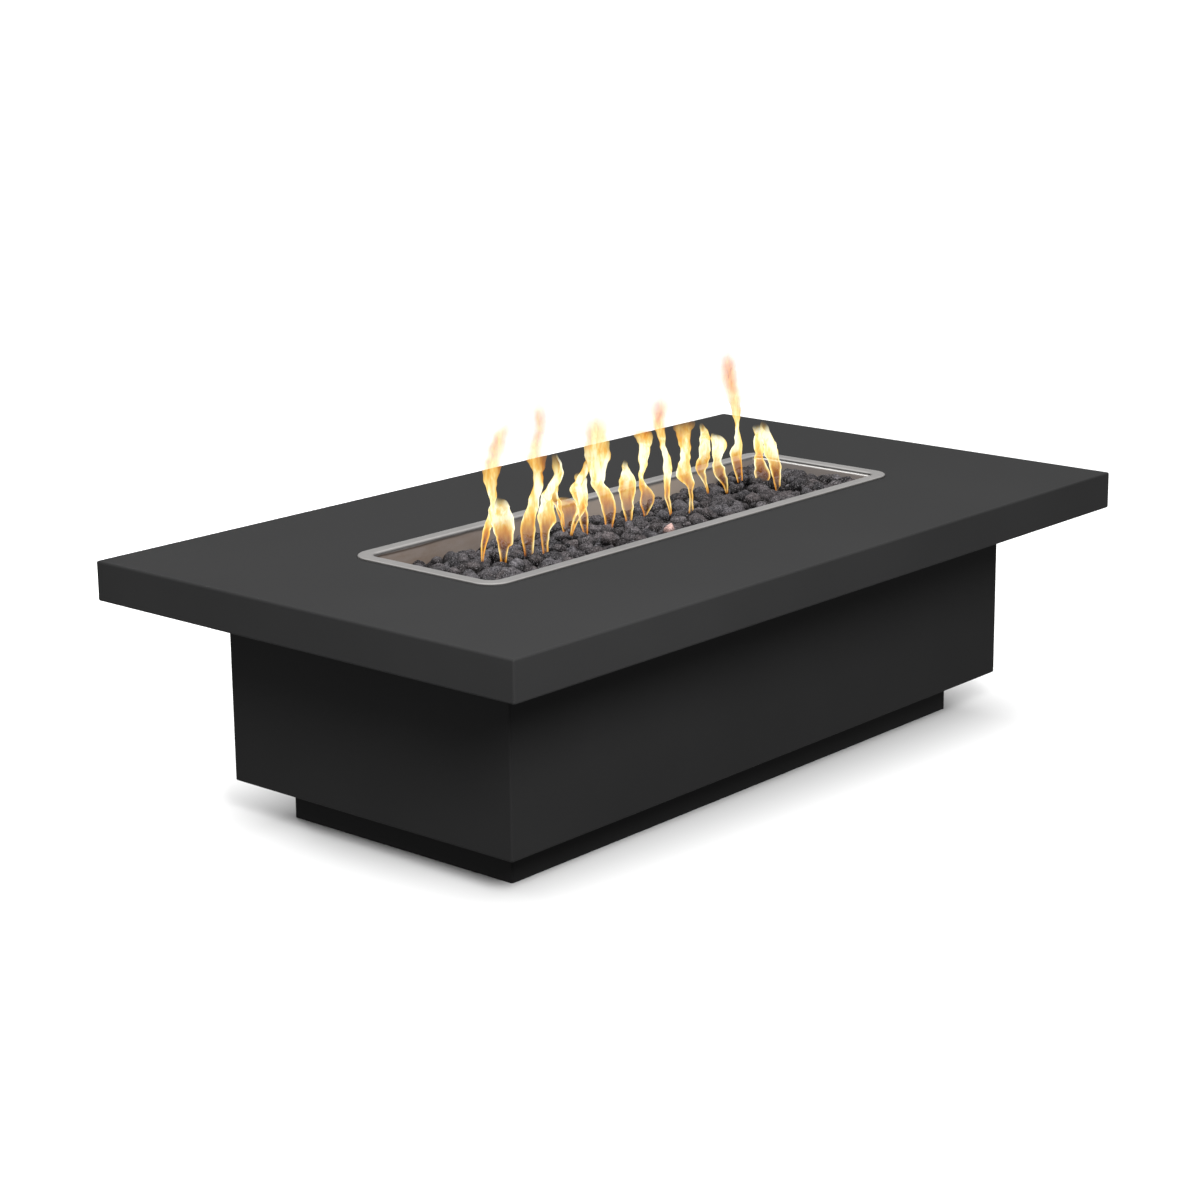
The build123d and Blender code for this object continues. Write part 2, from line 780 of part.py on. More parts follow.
def port_bore(side):
    """Flow way and tube socket on one side of the ball."""
    way = rod(valve_ball_bore, 0, valve_port_half)
    socket = rod(gas_tube_radius + pipe_fit, valve_port_half - tube_socket, valve_port_half)
    return Rot(90 - 90 * side, 0, 0) * (way + socket)


def make_valve_body():
    barrel = rod(valve_barrel_radius, -valve_barrel_half, valve_barrel_half)
    port = Pos(0, 0, valve_barrel_half) * extrude(
        RegularPolygon(valve_hex_flats / 2, 6, major_radius=False), amount=valve_port_half - valve_barrel_half
    )
    neck = TO_Y * rod(valve_neck_radius, 0, neck_end)
    chamber = rod(chamber_radius, -valve_barrel_half, valve_ball_radius)
    stem_way = TO_Y * rod(stem_radius + stem_fit, 0, neck_end)
    return valve_place * cut_all(barrel + port + neck, [chamber, stem_way, port_bore(1)])


def make_valve_adaptor():
    plug = rod(chamber_radius - valve_seat_fit, -valve_barrel_half, -valve_ball_radius)
    port = Pos(0, 0, -valve_port_half) * extrude(
        RegularPolygon(valve_hex_flats / 2, 6, major_radius=False), amount=valve_port_half - valve_barrel_half
    )
    return valve_place * (plug + port - port_bore(-1))


def make_valve_seats():
    ring = pipe(chamber_radius - valve_seat_fit, valve_ball_bore, valve_seat_reach, valve_ball_radius)
    seat = ring - Sphere(valve_ball_radius + valve_seat_gap)
    return valve_place * group([seat, Rot(180, 0, 0) * seat])


def make_valve_ball():
    slot = Box(tang_length + 2 * tang_gap, 2 * tang_depth, tang_width + 2 * tang_gap)
    ball = Sphere(valve_ball_radius) - Cylinder(valve_ball_bore, 3 * valve_ball_radius)
    return valve_place * (ball - Pos(0, valve_ball_radius, 0) * slot)


def make_valve_stem():
    start = valve_ball_radius + tang_gap
    stem = TO_Y * rod(stem_radius, start, stem_end)
    tang_levels = (start - tang_depth + tang_gap, start + tang_depth)
    tang = block((-tang_length / 2, tang_length / 2), tang_levels, (-tang_width / 2, tang_width / 2))
    socket = Pos(0, stem_end, 0) * Box(key_socket, 2 * key_socket_depth, key_socket)
    return valve_place * (stem + tang - socket)


def make_valve_locknut():
    nut = TO_BACK * hexagon(valve_locknut_flats, valve_locknut_height, valve_neck_radius + thread_fit)
    return valve_place * Pos(0, pipe_setback, 0) * nut


def make_valve_escutcheon():
    bore = valve_neck_radius + thread_fit
    with BuildSketch(Plane.XZ) as profile:
        with BuildLine():
            rim = Polyline(
                (escutcheon_crown_radius, valve_neck_reach),
                (bore, valve_neck_reach),
                (bore, 0),
                (escutcheon_radius, 0),
                (escutcheon_radius, escutcheon_rim),
            )
            TangentArc(rim @ 0, rim @ 1, tangent=(1, 0))
        make_face()
    cover = revolve(profile.sketch, Axis.Z)
    return Pos(valve_x, back_face, valve_z) * TO_Y * cover


def make_valve_key():
    tip_side = key_socket - 2 * key_fit
    tip = Box(tip_side, tip_side, key_tip_length, align=HANGING)
    shank = rod(key_shank_radius, -key_fit, key_shank_length)
    reach = key_bar_length / 2 - key_bar_radius
    bar = TO_X * Cylinder(key_bar_radius, 2 * reach)
    for side in (-1, 1):
        bar = bar + Pos(side * reach, 0, 0) * Sphere(key_bar_radius)
    key = tip + shank + Pos(0, 0, key_shank_length) * bar
    return valve_place * Pos(0, stem_end + 2 * key_fit, 0) * TO_Y * key


# Gas inlet
def make_inlet_fitting():
    outside = pipe_setback + body_sheet
    through = rod(inlet_body_radius, 0, outside)
    collar = Pos(0, 0, outside) * hexagon(inlet_hex_flats, inlet_hex_height, inlet_bore)
    thread = rod(inlet_thread_radius, outside, outside + inlet_hex_height + inlet_thread_length)
    reach = outside + inlet_hex_height + inlet_thread_length
    lying = TO_Y * (through + collar + thread - rod(inlet_bore, 0, reach))
    riser = rod(inlet_riser_radius, 0, inlet_riser_height)
    body = lying + riser + Sphere(inlet_riser_radius)
    tube_way = rod(inlet_bore, 0, inlet_riser_height)
    socket = rod(gas_tube_radius + pipe_fit, inlet_riser_height - tube_socket, inlet_riser_height)
    body = cut_all(body, [TO_Y * rod(inlet_bore, 0, reach), tube_way, socket])
    return Pos(valve_x, pipe_y, inlet_z) * body


def make_inlet_locknut():
    nut = TO_BACK * hexagon(inlet_hex_flats, valve_locknut_height, inlet_body_radius + thread_fit)
    return Pos(valve_x, back_inner, inlet_z) * nut


# Access door
def make_access_door():
    tray = folded_tray(door_width, door_height, door_depth, door_sheet, door_lip, door_bend)
    door = Pos(0, back_face, door_center_z) * TO_Y * tray
    pull_place = (door_width / 2 - pull_inset, door_center_z)
    holes = back_holes(leaf_screw_places + [pull_place], screw_radius + thread_fit)
    return cut_all(door, holes)


def knuckle_levels(level):
    """The three knuckles of one hinge, from the bottom up."""
    bottom = level - hinge_height / 2
    step = hinge_height / 3
    return [
        (bottom, bottom + step - knuckle_gap / 2),
        (bottom + step + knuckle_gap / 2, bottom + 2 * step - knuckle_gap / 2),
        (bottom + 2 * step + knuckle_gap / 2, bottom + hinge_height),
    ]


def hinge_leaf(side, level, own):
    """Leaf on one side of the hinge axis; own lists the knuckles that it carries."""
    inner = side * (knuckle_radius + knuckle_clearance)
    outer = side * hinge_leaf_width
    depth = (back_face - hinge_y, back_face - hinge_y + hinge_leaf_sheet)
    leaf = block(sorted((inner, outer)), depth, (level - hinge_height / 2, level + hinge_height / 2))
    levels = knuckle_levels(level)
    for index in own:
        leaf = leaf + block(sorted((0, outer)), depth, levels[index])
        leaf = leaf + rod(knuckle_radius, *levels[index])
    for index in own:
        leaf = leaf - rod(hinge_pin_radius + hinge_pin_fit, *levels[index])
    return Pos(hinge_x, hinge_y, 0) * leaf


def make_hinge_frame_leaves():
    holes = back_holes(frame_screw_places, screw_hole_radius)
    return group(cut_all(hinge_leaf(-1, level, (0, 2)), holes) for level in hinge_levels)


def make_hinge_door_leaves():
    holes = back_holes(leaf_screw_places, screw_hole_radius)
    return group(cut_all(hinge_leaf(1, level, (1,)), holes) for level in hinge_levels)


def make_hinge_pins():
    pins = []
    for level in hinge_levels:
        bottom = level - hinge_height / 2
        top = level + hinge_height / 2
        pin = rod(hinge_pin_radius, bottom, top) + rod(knuckle_radius, top, top + hinge_pin_head)
        pins.append(Pos(hinge_x, hinge_y, 0) * pin)
    return group(pins)


def make_door_pull():
    neck_top = pull_height - pull_head_height
    with BuildSketch(Plane.XZ) as profile:
        with BuildLine():
            outline = Polyline(
                (pull_head_radius, pull_height - pull_head_height / 3),
                (pull_head_radius, neck_top + pull_head_height / 3),
                (pull_neck_radius, neck_top),
                (pull_neck_radius, pull_base_height),
                (pull_base_radius, pull_base_height),
                (pull_base_radius, 0),
                (0, 0),
                (0, pull_height),
            )
            TangentArc(outline @ 1, outline @ 0, tangent=(1, 0))
        make_face()
    knob = revolve(profile.sketch, Axis.Z)
    stud = rod(screw_radius, -door_sheet - screw_tip, 0)
    place = Pos(door_width / 2 - pull_inset, back_face, door_center_z)
    return place * TO_Y * (knob + stud)


def make_catch_body():
    levels = (door_center_z - catch_height / 2, door_center_z + catch_height / 2)
    face = back_face - door_depth - catch_face_gap
    rear = face - catch_thickness
    nose = block((catch_x - catch_reach, catch_x + catch_foot), (rear, face), levels)
    foot = block((catch_x, catch_x + catch_foot), (rear, back_inner), levels)
    pocket = catch_pocket()
    return cut_all(nose + foot - pocket, back_holes(catch_screw_places, screw_radius + thread_fit))


def catch_pocket():
    """Space of the magnet in the nose of the catch."""
    face = back_face - door_depth - catch_face_gap
    middle = catch_x - catch_reach / 2
    return block(
        (middle - magnet_width / 2, middle + magnet_width / 2),
        (face - magnet_depth, face),
        (door_center_z - magnet_height / 2, door_center_z + magnet_height / 2),
    )


# Vents
def make_vent(center):
    plate = Box(vent_plate_length, vent_plate_height, vent_sheet, align=STANDING)
    length = vent_plate_length - 2 * louvre_margin
    inner_length = length - 2 * vent_sheet
    inner_radius = louvre_radius - vent_sheet
    hood = TO_X * Cylinder(louvre_radius, length) - TO_X * Cylinder(inner_radius, inner_length)
    quarter = block((-length, length), (0, louvre_radius), (0, louvre_radius))
    hood = hood & quarter
    slot = block((-inner_length / 2, inner_length / 2), (0, inner_radius), (-vent_sheet, 2 * vent_sheet))
    for index in range(louvre_count):
        y = (index - (louvre_count - 1) / 2) * louvre_pitch - louvre_radius / 2
        place = Pos(0, y, 0)
        plate = plate - place * slot + place * Pos(0, 0, vent_sheet) * hood
    upright = Rot(0, 0, 180) * TO_BACK * plate
    vent = Pos(center, back_face, vent_z) * upright
    return cut_all(vent, back_holes(vent_screw_places, screw_hole_radius))


# Fastener groups
def make_top_bolts():
    grip = body_sheet + brace_sheet
    solids = []
    for x, y in top_bolt_places:
        solids += [Pos(x, y, pedestal_top - body_sheet) * piece for piece in bolt_and_nut(grip)]
    return group(solids)


def make_plinth_bolts():
    """Bolts through three sheets: the plinth's flange, the pedestal's flange and the floor."""
    grip = 3 * body_sheet
    solids = []
    for x, y in plinth_bolt_places:
        solids += [Pos(x, y, plinth_height - body_sheet) * piece for piece in bolt_and_nut(grip)]
    return group(solids)


def make_back_screws(places, seat, grip):
    """Screws driven forwards from the back, with their heads on a seat above the back face."""
    return group(Pos(x, back_face + seat, z) * TO_Y * screw(grip) for x, z in places)


# Lava stones
def make_lava_gravel():
    bed = rounded_prism(
        pan_length - 2 * bed_clearance,
        pan_width - 2 * bed_clearance,
        pan_corner - bed_clearance,
        pan_floor,
        bed_top,
    )
    bed = fillet(bed.edges().group_by(Axis.Z)[0], pan_floor_bend)
    gap = bed_pocket_clearance
    cap_reach = burner_length / 2 + end_cap_length - end_cap_socket + gap
    cap_side = end_cap_radius + gap
    nut_side = locknut_flats / math.sqrt(3) + gap
    tee_reach = tee_length / 2 + gap
    tee_side = max(nut_side, tee_collar_radius + gap)
    tee_top = burner_z + tee_collar_radius + gap
    saddle_side = saddle_width / 2 + gap
    pockets = [
        block((-cap_reach, cap_reach), (-cap_side, cap_side), (pan_bottom, burner_z + cap_side)),
        block((-tee_reach, tee_reach), (-tee_side, tee_side), (pan_bottom, tee_top)),
    ]
    for side in (-1, 1):
        along = sorted((side * (saddle_x - gap), side * (saddle_x + saddle_foot + gap)))
        pockets.append(block(along, (-saddle_side, saddle_side), (pan_bottom, burner_z + gap)))
    return cut_all(bed, pockets)


def rock_corners(chooser, columns, rows):
    """Jittered grid over the bed; its border follows the pan and its rounded corners."""
    length = pan_length - 2 * rock_wall_gap
    width = pan_width - 2 * rock_wall_gap
    step_x = length / columns
    step_y = width / rows
    corners = {}
    for i in range(columns + 1):
        for j in range(rows + 1):
            shift_x = chooser.uniform(-rock_jitter, rock_jitter) if 0 < i < columns else 0
            shift_y = chooser.uniform(-rock_jitter, rock_jitter) if 0 < j < rows else 0
            corners[i, j] = Vector((i + shift_x) * step_x - length / 2, (j + shift_y) * step_y - width / 2, 0)
    pull = pan_corner * (1 - math.cos(math.pi / 4))
    for i in (0, columns):
        for j in (0, rows):
            inward = Vector(math.copysign(pull, columns - 2 * i), math.copysign(pull, rows - 2 * j), 0)
            corners[i, j] = corners[i, j] + inward
    return corners


def rock(chooser, cell):
    """Convex stone with a flat underside, inside one four-cornered cell of the bed."""
    middle = (cell[0] + cell[1] + cell[2] + cell[3]) / 4
    height = chooser.uniform(rock_low, rock_high)
    points = []
    for index in range(4):
        corner = cell[index] - middle
        side = (cell[index] + cell[(index + 1) % 4]) / 2 - middle
        waist = Vector(0, 0, chooser.uniform(*rock_waist_level) * height)
        crown = Vector(0, 0, chooser.uniform(*rock_crown_level) * height)
        points.append(middle + corner * chooser.uniform(*rock_foot_reach))
        points.append(middle + corner * chooser.uniform(*rock_waist_reach) + waist)
        flank = side * chooser.uniform(*rock_side_reach) + waist * chooser.uniform(*rock_side_level)
        points.append(middle + flank)
        points.append(middle + side * chooser.uniform(*rock_crown_reach) + crown)
    return Pos(0, 0, bed_top) * ConvexPolyhedron(points)


def make_lava_rocks():
    chooser = random.Random(rock_seed)
    columns = round(pan_length / rock_pitch)
    rows = round(pan_width / rock_pitch)
    corners = rock_corners(chooser, columns, rows)
    rocks = []
    for i in range(columns):
        for j in range(rows):
            cell = [corners[i, j], corners[i + 1, j], corners[i + 1, j + 1], corners[i, j + 1]]
            rocks.append(rock(chooser, cell))
    return group(rocks)


shell = pedestal_shell()
nodes = {
    "table_top": make_table_top(),
    "cross_braces": make_cross_braces(),
    "long_braces": make_long_braces(),
    "end_braces": make_end_braces(),
    "pedestal_wrap": make_pedestal_wrap(shell),
    "back_panel": make_back_panel(shell),
    "corner_posts": make_corner_posts(),
    "floor_panel": make_floor_panel(),
    "plinth": make_plinth(),
    "burner_pan": make_burner_pan(),
    "burner_tee": make_burner_tee(),
    "burner_tubes": make_burner_tubes(),
    "burner_end_caps": make_burner_end_caps(),
    "burner_saddles": make_burner_saddles(),
    "feed_nipple": make_feed_nipple(),
    "pan_locknuts": make_pan_locknuts(),
    "feed_elbow": make_feed_elbow(),
    "air_mixer": make_air_mixer(),
    "feed_tube": make_feed_tube(),
    "supply_tube": make_supply_tube(),
    "flare_nuts": make_flare_nuts(),
    "valve_body": make_valve_body(),
    "valve_adaptor": make_valve_adaptor(),
    "valve_seats": make_valve_seats(),
    "valve_ball": make_valve_ball(),
    "valve_stem": make_valve_stem(),
    "valve_locknut": make_valve_locknut(),
    "valve_escutcheon": make_valve_escutcheon(),
    "valve_key": make_valve_key(),
    "inlet_fitting": make_inlet_fitting(),
    "inlet_locknut": make_inlet_locknut(),
    "access_door": make_access_door(),
    "hinge_frame_leaves": make_hinge_frame_leaves(),
    "hinge_door_leaves": make_hinge_door_leaves(),
    "hinge_pins": make_hinge_pins(),
    "door_pull": make_door_pull(),
    "catch_body": make_catch_body(),
    "catch_magnet": catch_pocket(),
    "vent_left": make_vent(vent_left_x),
    "vent_right": make_vent(vent_right_x),
    "top_bolts": make_top_bolts(),
    "plinth_bolts": make_plinth_bolts(),
    "panel_screws": make_back_screws(panel_screw_places, 0, 2 * body_sheet),
    "vent_screws": make_back_screws(vent_screw_places, vent_sheet, vent_sheet + body_sheet),
    "hinge_screws": make_back_screws(frame_screw_places, hinge_leaf_sheet, hinge_leaf_sheet + body_sheet),
    "door_leaf_screws": make_back_screws(leaf_screw_places, hinge_leaf_sheet, hinge_leaf_sheet + door_sheet),
    "catch_screws": make_back_screws(catch_screw_places, 0, body_sheet + screw_tip),
    "lava_gravel": make_lava_gravel(),
    "lava_rocks": make_lava_rocks(),
}

os.makedirs("parts", exist_ok=True)
for name, solid in nodes.items():
    export_step(solid, f"parts/{name}.step")
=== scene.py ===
import json
import math
import random

import bmesh
import bpy
import numpy as np
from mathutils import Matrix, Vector, noise


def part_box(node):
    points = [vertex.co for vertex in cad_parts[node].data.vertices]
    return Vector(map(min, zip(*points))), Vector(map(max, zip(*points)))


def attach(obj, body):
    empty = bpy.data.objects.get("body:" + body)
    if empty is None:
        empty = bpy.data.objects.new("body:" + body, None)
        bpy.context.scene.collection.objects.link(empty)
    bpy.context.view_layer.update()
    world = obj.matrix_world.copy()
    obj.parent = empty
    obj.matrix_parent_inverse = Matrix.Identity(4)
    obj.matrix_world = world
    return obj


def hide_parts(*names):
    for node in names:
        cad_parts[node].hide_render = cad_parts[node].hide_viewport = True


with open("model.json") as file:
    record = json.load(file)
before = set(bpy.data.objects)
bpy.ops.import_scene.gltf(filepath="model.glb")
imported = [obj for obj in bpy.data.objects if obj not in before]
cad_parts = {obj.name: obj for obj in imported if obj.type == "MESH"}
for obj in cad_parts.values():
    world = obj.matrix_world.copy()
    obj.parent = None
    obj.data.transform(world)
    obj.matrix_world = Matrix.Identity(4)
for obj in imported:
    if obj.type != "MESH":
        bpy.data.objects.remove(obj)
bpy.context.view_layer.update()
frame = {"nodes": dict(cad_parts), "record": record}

# Camera, fitted to the photograph's edges and corners
camera_place = Vector((-3.9404, -3.3777, 1.7038))
camera_aim = Vector((0.75528, 0.61015, -0.23933))
camera_lens = 81.36
camera_shift = (-0.0961, -0.0385)
camera_reach = 500.0

# Studio floor and wall. The floor glows from nothing at the plinth to its full glow at the reach: a
# painted shadow around the plinth, on top of the shadow that the lights cast.
floor_half = 60.0
floor_drop = 0.0003
floor_glow = 0.66
painted_shadow_reach = 0.31
wall_radius, wall_cove, wall_height = 58.0, 12.0, 60.0
wall_sides = 64
cove_turns = [math.radians(angle) for angle in range(0, 91, 15)]
# The sky's light at heights from straight down (0) to straight up (1), as shares of its peak
sky_peak = 3.5
sky_levels = [
    (0.0, 0.12), (0.495, 0.12), (0.505, 0.06),
    (0.625, 0.09), (0.75, 0.22), (0.875, 0.41), (1.0, 0.66),
]
# Soft boxes: name, place, where they aim, and power
soft_boxes = [
    ("key_light", Vector((-2.3, -2.9, 2.6)), Vector((-0.7, -0.5, 0.4)), 300.0),
    ("fill_light", Vector((0.9, 3.6, 1.1)), Vector((0.0, 0.35, 0.25)), 130.0),
    ("end_light", Vector((-3.8, 0.4, 0.6)), Vector((-0.75, 0.0, 0.2)), 20.0),
]
soft_box_size = 1.6
# Flames overlap, so a ray may have to pass many clear sheets
clear_layers = 48

# Pan: depths below its rim where the heat stain starts and is full, and the middle and half height
# of its dark line, painted highlight line and painted shade line
stain_start, stain_full = 0.0045, 0.0110
dark_line_depth, dark_line_half = 0.0088, 0.0030
highlight_depth, highlight_half = 0.0075, 0.0026
shade_line_depth, shade_line_half = 0.0035, 0.0018
dark_line_wander = 0.004
# The painted highlight and shade lines show only near the rim's right-hand end: distances from it,
# start and full
highlight_start, highlight_full = 0.049, 0.035
# Where along the pan the soot is full and ends, and the middle and half length of the stretch of
# painted light on the walls' heat tint
soot_full, soot_end = -0.45, -0.05
lit_stretch_middle, lit_stretch_half = 0.2, 0.35

# Stones: seed, fineness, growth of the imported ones, sharpness of edges and limit of corners
stone_seed = 23
stone_facets = 3
stone_swell = 1.10
edge_power = 8.0
stone_spike = 1.35
# A flat that faces away from a direction counts as facing it this little
least_facing = 0.05
# Lumps and finer grain on a stone: fineness, roughness, step and octaves of the noise, and height
stone_lumps, lump_height = (0.8, 0.9, 2.1, 3), 0.13
stone_grain, grain_height = (2.8, 0.8, 2.2, 3), 0.10
# Pores: fineness, how far they reach from their middles, and depth
pore_fineness, pore_reach, pore_depth = 2.2, 0.42, 0.30
# A stone's tone: ranges of grey and warmth; its painted shade: the share of tone left at its foot, and
# how far up the tone is full
stone_greys = (0.020, 0.080)
stone_warmths = (-0.02, 0.09)
stone_foot_shade = 0.1
stone_full_tone = 0.9
# The pink stone's place, top and radius
pink_stone = ((0.01, -0.072), 0.491, 0.0145)
pink_tone = (0.46, 0.30, 0.27, 1.0)
# Loose stones: count, least distance apart, range of radii, range of tops, fineness and least x
loose_beds = [
    (200, 0.030, (0.013, 0.021), (0.474, 0.489), 3, -0.6),
    (260, 0.016, (0.006, 0.010), (0.466, 0.482), 2, -0.6),
    (95, 0.025, (0.013, 0.021), (0.470, 0.487), 3, 0.40),
]
# A loose stone: number of flats, their distances and the top's height over the middle, in radii
loose_flats = 16
loose_reach = (0.72, 1.0)
loose_top = 0.85
# Their distance from the bed's sides, and the number of places tried for each
loose_inset = 0.002
tries_for_each = 40
# The bed's heap at its right-hand end: where it starts to rise, is up, starts to fall and ends
heap_places = (0.38, 0.47, 0.52, 0.58)
heap_rise = 0.023
heap_fall = 0.6
bed_limit = 0.502

# Flames, after the photograph, in millimetres: the foot's x and y on the bed, the height, and at
# evenly spaced levels from foot to tip the drift to the camera's right and the half width
flame_sheets = [
    (-385, 55, 290, (0, 8, 20, 21, 34, 60), (2, 7, 6, 9, 10, 8)),
    (-370, 15, 130, (0, 1, 2, -3, -5, -2), (5, 9, 16, 19, 18, 17)),
    (-300, 15, 325, (0, 0, 18, 16, 24, 22), (8, 14, 8, 9, 9, 16)),
    (-270, 0, 195, (0, 0, 3, 4, 27, 22), (5, 8, 16, 11, 6, 3)),
    (-125, 75, 75, (0, 2, 3, 3, 1, 1), (7, 10, 13, 16, 19, 17)),
    (-105, 45, 125, (0, -2, -3, -4, -6, -12), (4, 7, 9, 10, 13, 12)),
    (-30, 50, 240, (0, -1, -19, -22, -23, -25), (7, 14, 14, 21, 15, 28)),
    (35, 55, 130, (0, -1, -3, -4, -2, -7), (6, 9, 15, 16, 10, 5)),
    (85, 55, 195, (0, 5, -4, -5, 2, -9), (2, 14, 4, 8, 11, 9)),
    (130, 25, 260, (0, -8, -7, -18, -21, -18), (2, 6, 7, 5, 10, 15)),
    (170, 5, 195, (0, -1, -12, -11, -15, -17), (5, 4, 13, 9, 9, 19)),
    (335, 95, 150, (0, -8, -14, -8, -6, -13), (2, 4, 13, 12, 10, 3)),
    (360, 65, 130, (0, -6, -16, -19, -16, -25), (2, 7, 12, 10, 15, 12)),
    (425, 80, 315, (0, -9, -7, -14, -26, -27), (4, 11, 5, 8, 9, 7)),
    (445, 40, 140, (0, 1, -5, -7, -5, -9), (4, 15, 11, 8, 11, 15)),
    (430, -15, 150, (0, -3, -7, -16, -22, -31), (4, 8, 14, 14, 11, 9)),
    (-125, 65, 160, (0, 10, 19, 9, 28, 38), (2, 6, 8, 9, 8, 5)),
    (-80, 125, 145, (0, -6, -16, -17, -2, -13), (2, 6, 8, 7, 4, 2)),
]
millimetre = 0.001
# Seed of the licks, height of the feet, rows, points around, thickness over width, and edge width
flame_seed = 7
flame_foot = 0.474
flame_rows = 90
flame_around = 44
flame_depth = 0.4
flame_line = 0.0026
# Sheets spread, and their edges cool, from the first of these heights to the second
flame_spread = 1.5
spread_heights = (0.12, 0.24)
spread_cooling = 0.3
# Shares of a sheet's height where its tip starts to close, its cover to fade, and its licks are full
tip_start = 0.86
fade_start = 0.80
lick_full = 0.35
# Least half width, and what is left of it at the closed tip
flame_half_least, flame_half_tip = 0.001, 0.0002
# Sway towards and away from the camera, and big and small licks: height, and turns or fineness
sway_size, sway_turns = 0.012, 9.0
lick_size, lick_fineness = 0.006, 30.0
flick_size, flick_fineness = 0.0032, 75.0
# Each flame reads the noise this much higher up
flame_step = 1.7
# Height above the foot against: cover and heat of a flame's sheet and of its bright edges, and the
# sharpness of the sheet's sides
sheet_cover = (
    (0.0, 0.015, 0.035, 0.06, 0.09, 0.13, 0.17, 0.21, 0.25, 0.29),
    (0.0, 0.02, 0.10, 0.34, 0.70, 0.72, 0.58, 0.56, 0.54, 0.42),
)
sheet_heat = (
    (0.0, 0.03, 0.05, 0.07, 0.09, 0.11, 0.14, 0.18, 0.22, 0.27),
    (0.12, 0.24, 0.38, 0.66, 0.95, 1.05, 0.98, 0.62, 0.44, 0.36),
)
edge_cover = ((0.0, 0.006, 0.02, 0.09, 0.13, 0.17, 0.21), (0.0, 0.5, 0.8, 0.8, 0.5, 0.2, 0.0))
edge_heat = ((0.0, 0.01, 0.025, 0.05, 0.10, 0.16), (0.3, 0.5, 0.78, 0.95, 1.0, 0.7))
edge_softness = ((0.10, 0.20), (12.0, 1.2))


def fill_ramp(node, stops):
    """Sets a colour ramp's stops, first to last."""
    points = node.color_ramp.elements
    points.remove(points[-1])
    for n, (at, colour) in enumerate(stops):
        point = points.new(at) if n else points[0]
        point.position = at
        point.color = (*colour, 1.0)


class Finish:
    """One node-based material, with short calls for the nodes that the finishes share."""

    def __init__(self, name):
        self.material = bpy.data.materials.new(name)
        self.material.use_nodes = True
        self.tree = self.material.node_tree
        self.shader = self.tree.nodes["Principled BSDF"]
        self.place = self.add("ShaderNodeTexCoord").outputs["Object"]

    def add(self, kind, **settings):
        node = self.tree.nodes.new(kind)
        for key, value in settings.items():
            setattr(node, key, value)
        return node

    def feed(self, socket, value):
        """Links a socket to another, or sets it."""
        if isinstance(value, bpy.types.NodeSocket):
            self.tree.links.new(value, socket)
        else:
            socket.default_value = value

    def set(self, **inputs):
        for name, value in inputs.items():
            self.feed(self.shader.inputs[name.replace("_", " ")], value)

    def stretched(self, scale):
        node = self.add("ShaderNodeMapping")
        self.feed(node.inputs["Vector"], self.place)
        self.feed(node.inputs["Scale"], scale)
        return node.outputs["Vector"]

    def grain(self, scale, detail=2.0, rough=0.5, stretch=None):
        node = self.add("ShaderNodeTexNoise")
        self.feed(node.inputs["Vector"], self.stretched(stretch) if stretch else self.place)
        self.feed(node.inputs["Scale"], scale)
        self.feed(node.inputs["Detail"], detail)
        self.feed(node.inputs["Roughness"], rough)
        return node.outputs["Fac"]

    def cells(self, scale, feature="F1", jitter=1.0):
        node = self.add("ShaderNodeTexVoronoi", feature=feature)
        self.feed(node.inputs["Vector"], self.place)
        self.feed(node.inputs["Scale"], scale)
        self.feed(node.inputs["Randomness"], jitter)
        return node.outputs["Distance"]

    def range(self, value, low, high, start=0.0, end=1.0):
        node = self.add("ShaderNodeMapRange")
        self.feed(node.inputs["Value"], value)
        self.feed(node.inputs["From Min"], start)
        self.feed(node.inputs["From Max"], end)
        self.feed(node.inputs["To Min"], low)
        self.feed(node.inputs["To Max"], high)
        return node.outputs["Result"]

    def ramp(self, value, stops):
        node = self.add("ShaderNodeValToRGB")
        self.feed(node.inputs["Fac"], value)
        fill_ramp(node, stops)
        return node.outputs["Color"]

    def maths(self, operation, first, second=0.0):
        node = self.add("ShaderNodeMath", operation=operation)
        self.feed(node.inputs[0], first)
        self.feed(node.inputs[1], second)
        return node.outputs["Value"]

    def vector_maths(self, operation, first, second=(0.0, 0.0, 0.0)):
        node = self.add("ShaderNodeVectorMath", operation=operation)
        self.feed(node.inputs[0], first)
        self.feed(node.inputs[1], second)
        return node.outputs["Vector"]

    def mix(self, share, first, second, blend="MIX"):
        node = self.add("ShaderNodeMix", data_type="RGBA", blend_type=blend)
        self.feed(node.inputs["Factor"], share)
        for socket, colour in (("A_Color", first), ("B_Color", second)):
            target = next(i for i in node.inputs if i.identifier == socket)
            self.feed(target, (*colour, 1.0) if isinstance(colour, tuple) else colour)
        return next(o for o in node.outputs if o.identifier == "Result_Color")

    def axis(self, name):
        node = self.add("ShaderNodeSeparateXYZ")
        self.feed(node.inputs["Vector"], self.place)
        return node.outputs[name]

    def height(self):
        return self.axis("Z")

    def along(self):
        return self.axis("X")

    def band(self, value, middle, reach):
        """1 in the middle of a narrow range of values, falling to 0 at its ends."""
        rise = self.range(value, 0.0, 1.0, middle - reach, middle)
        return self.maths("MULTIPLY", rise, self.range(value, 1.0, 0.0, middle, middle + reach))

    def bump(self, height, distance, strength=1.0, under=None):
        node = self.add("ShaderNodeBump")
        self.feed(node.inputs["Height"], height)
        self.feed(node.inputs["Distance"], distance)
        self.feed(node.inputs["Strength"], strength)
        if under:
            self.feed(node.inputs["Normal"], under)
        return node.outputs["Normal"]


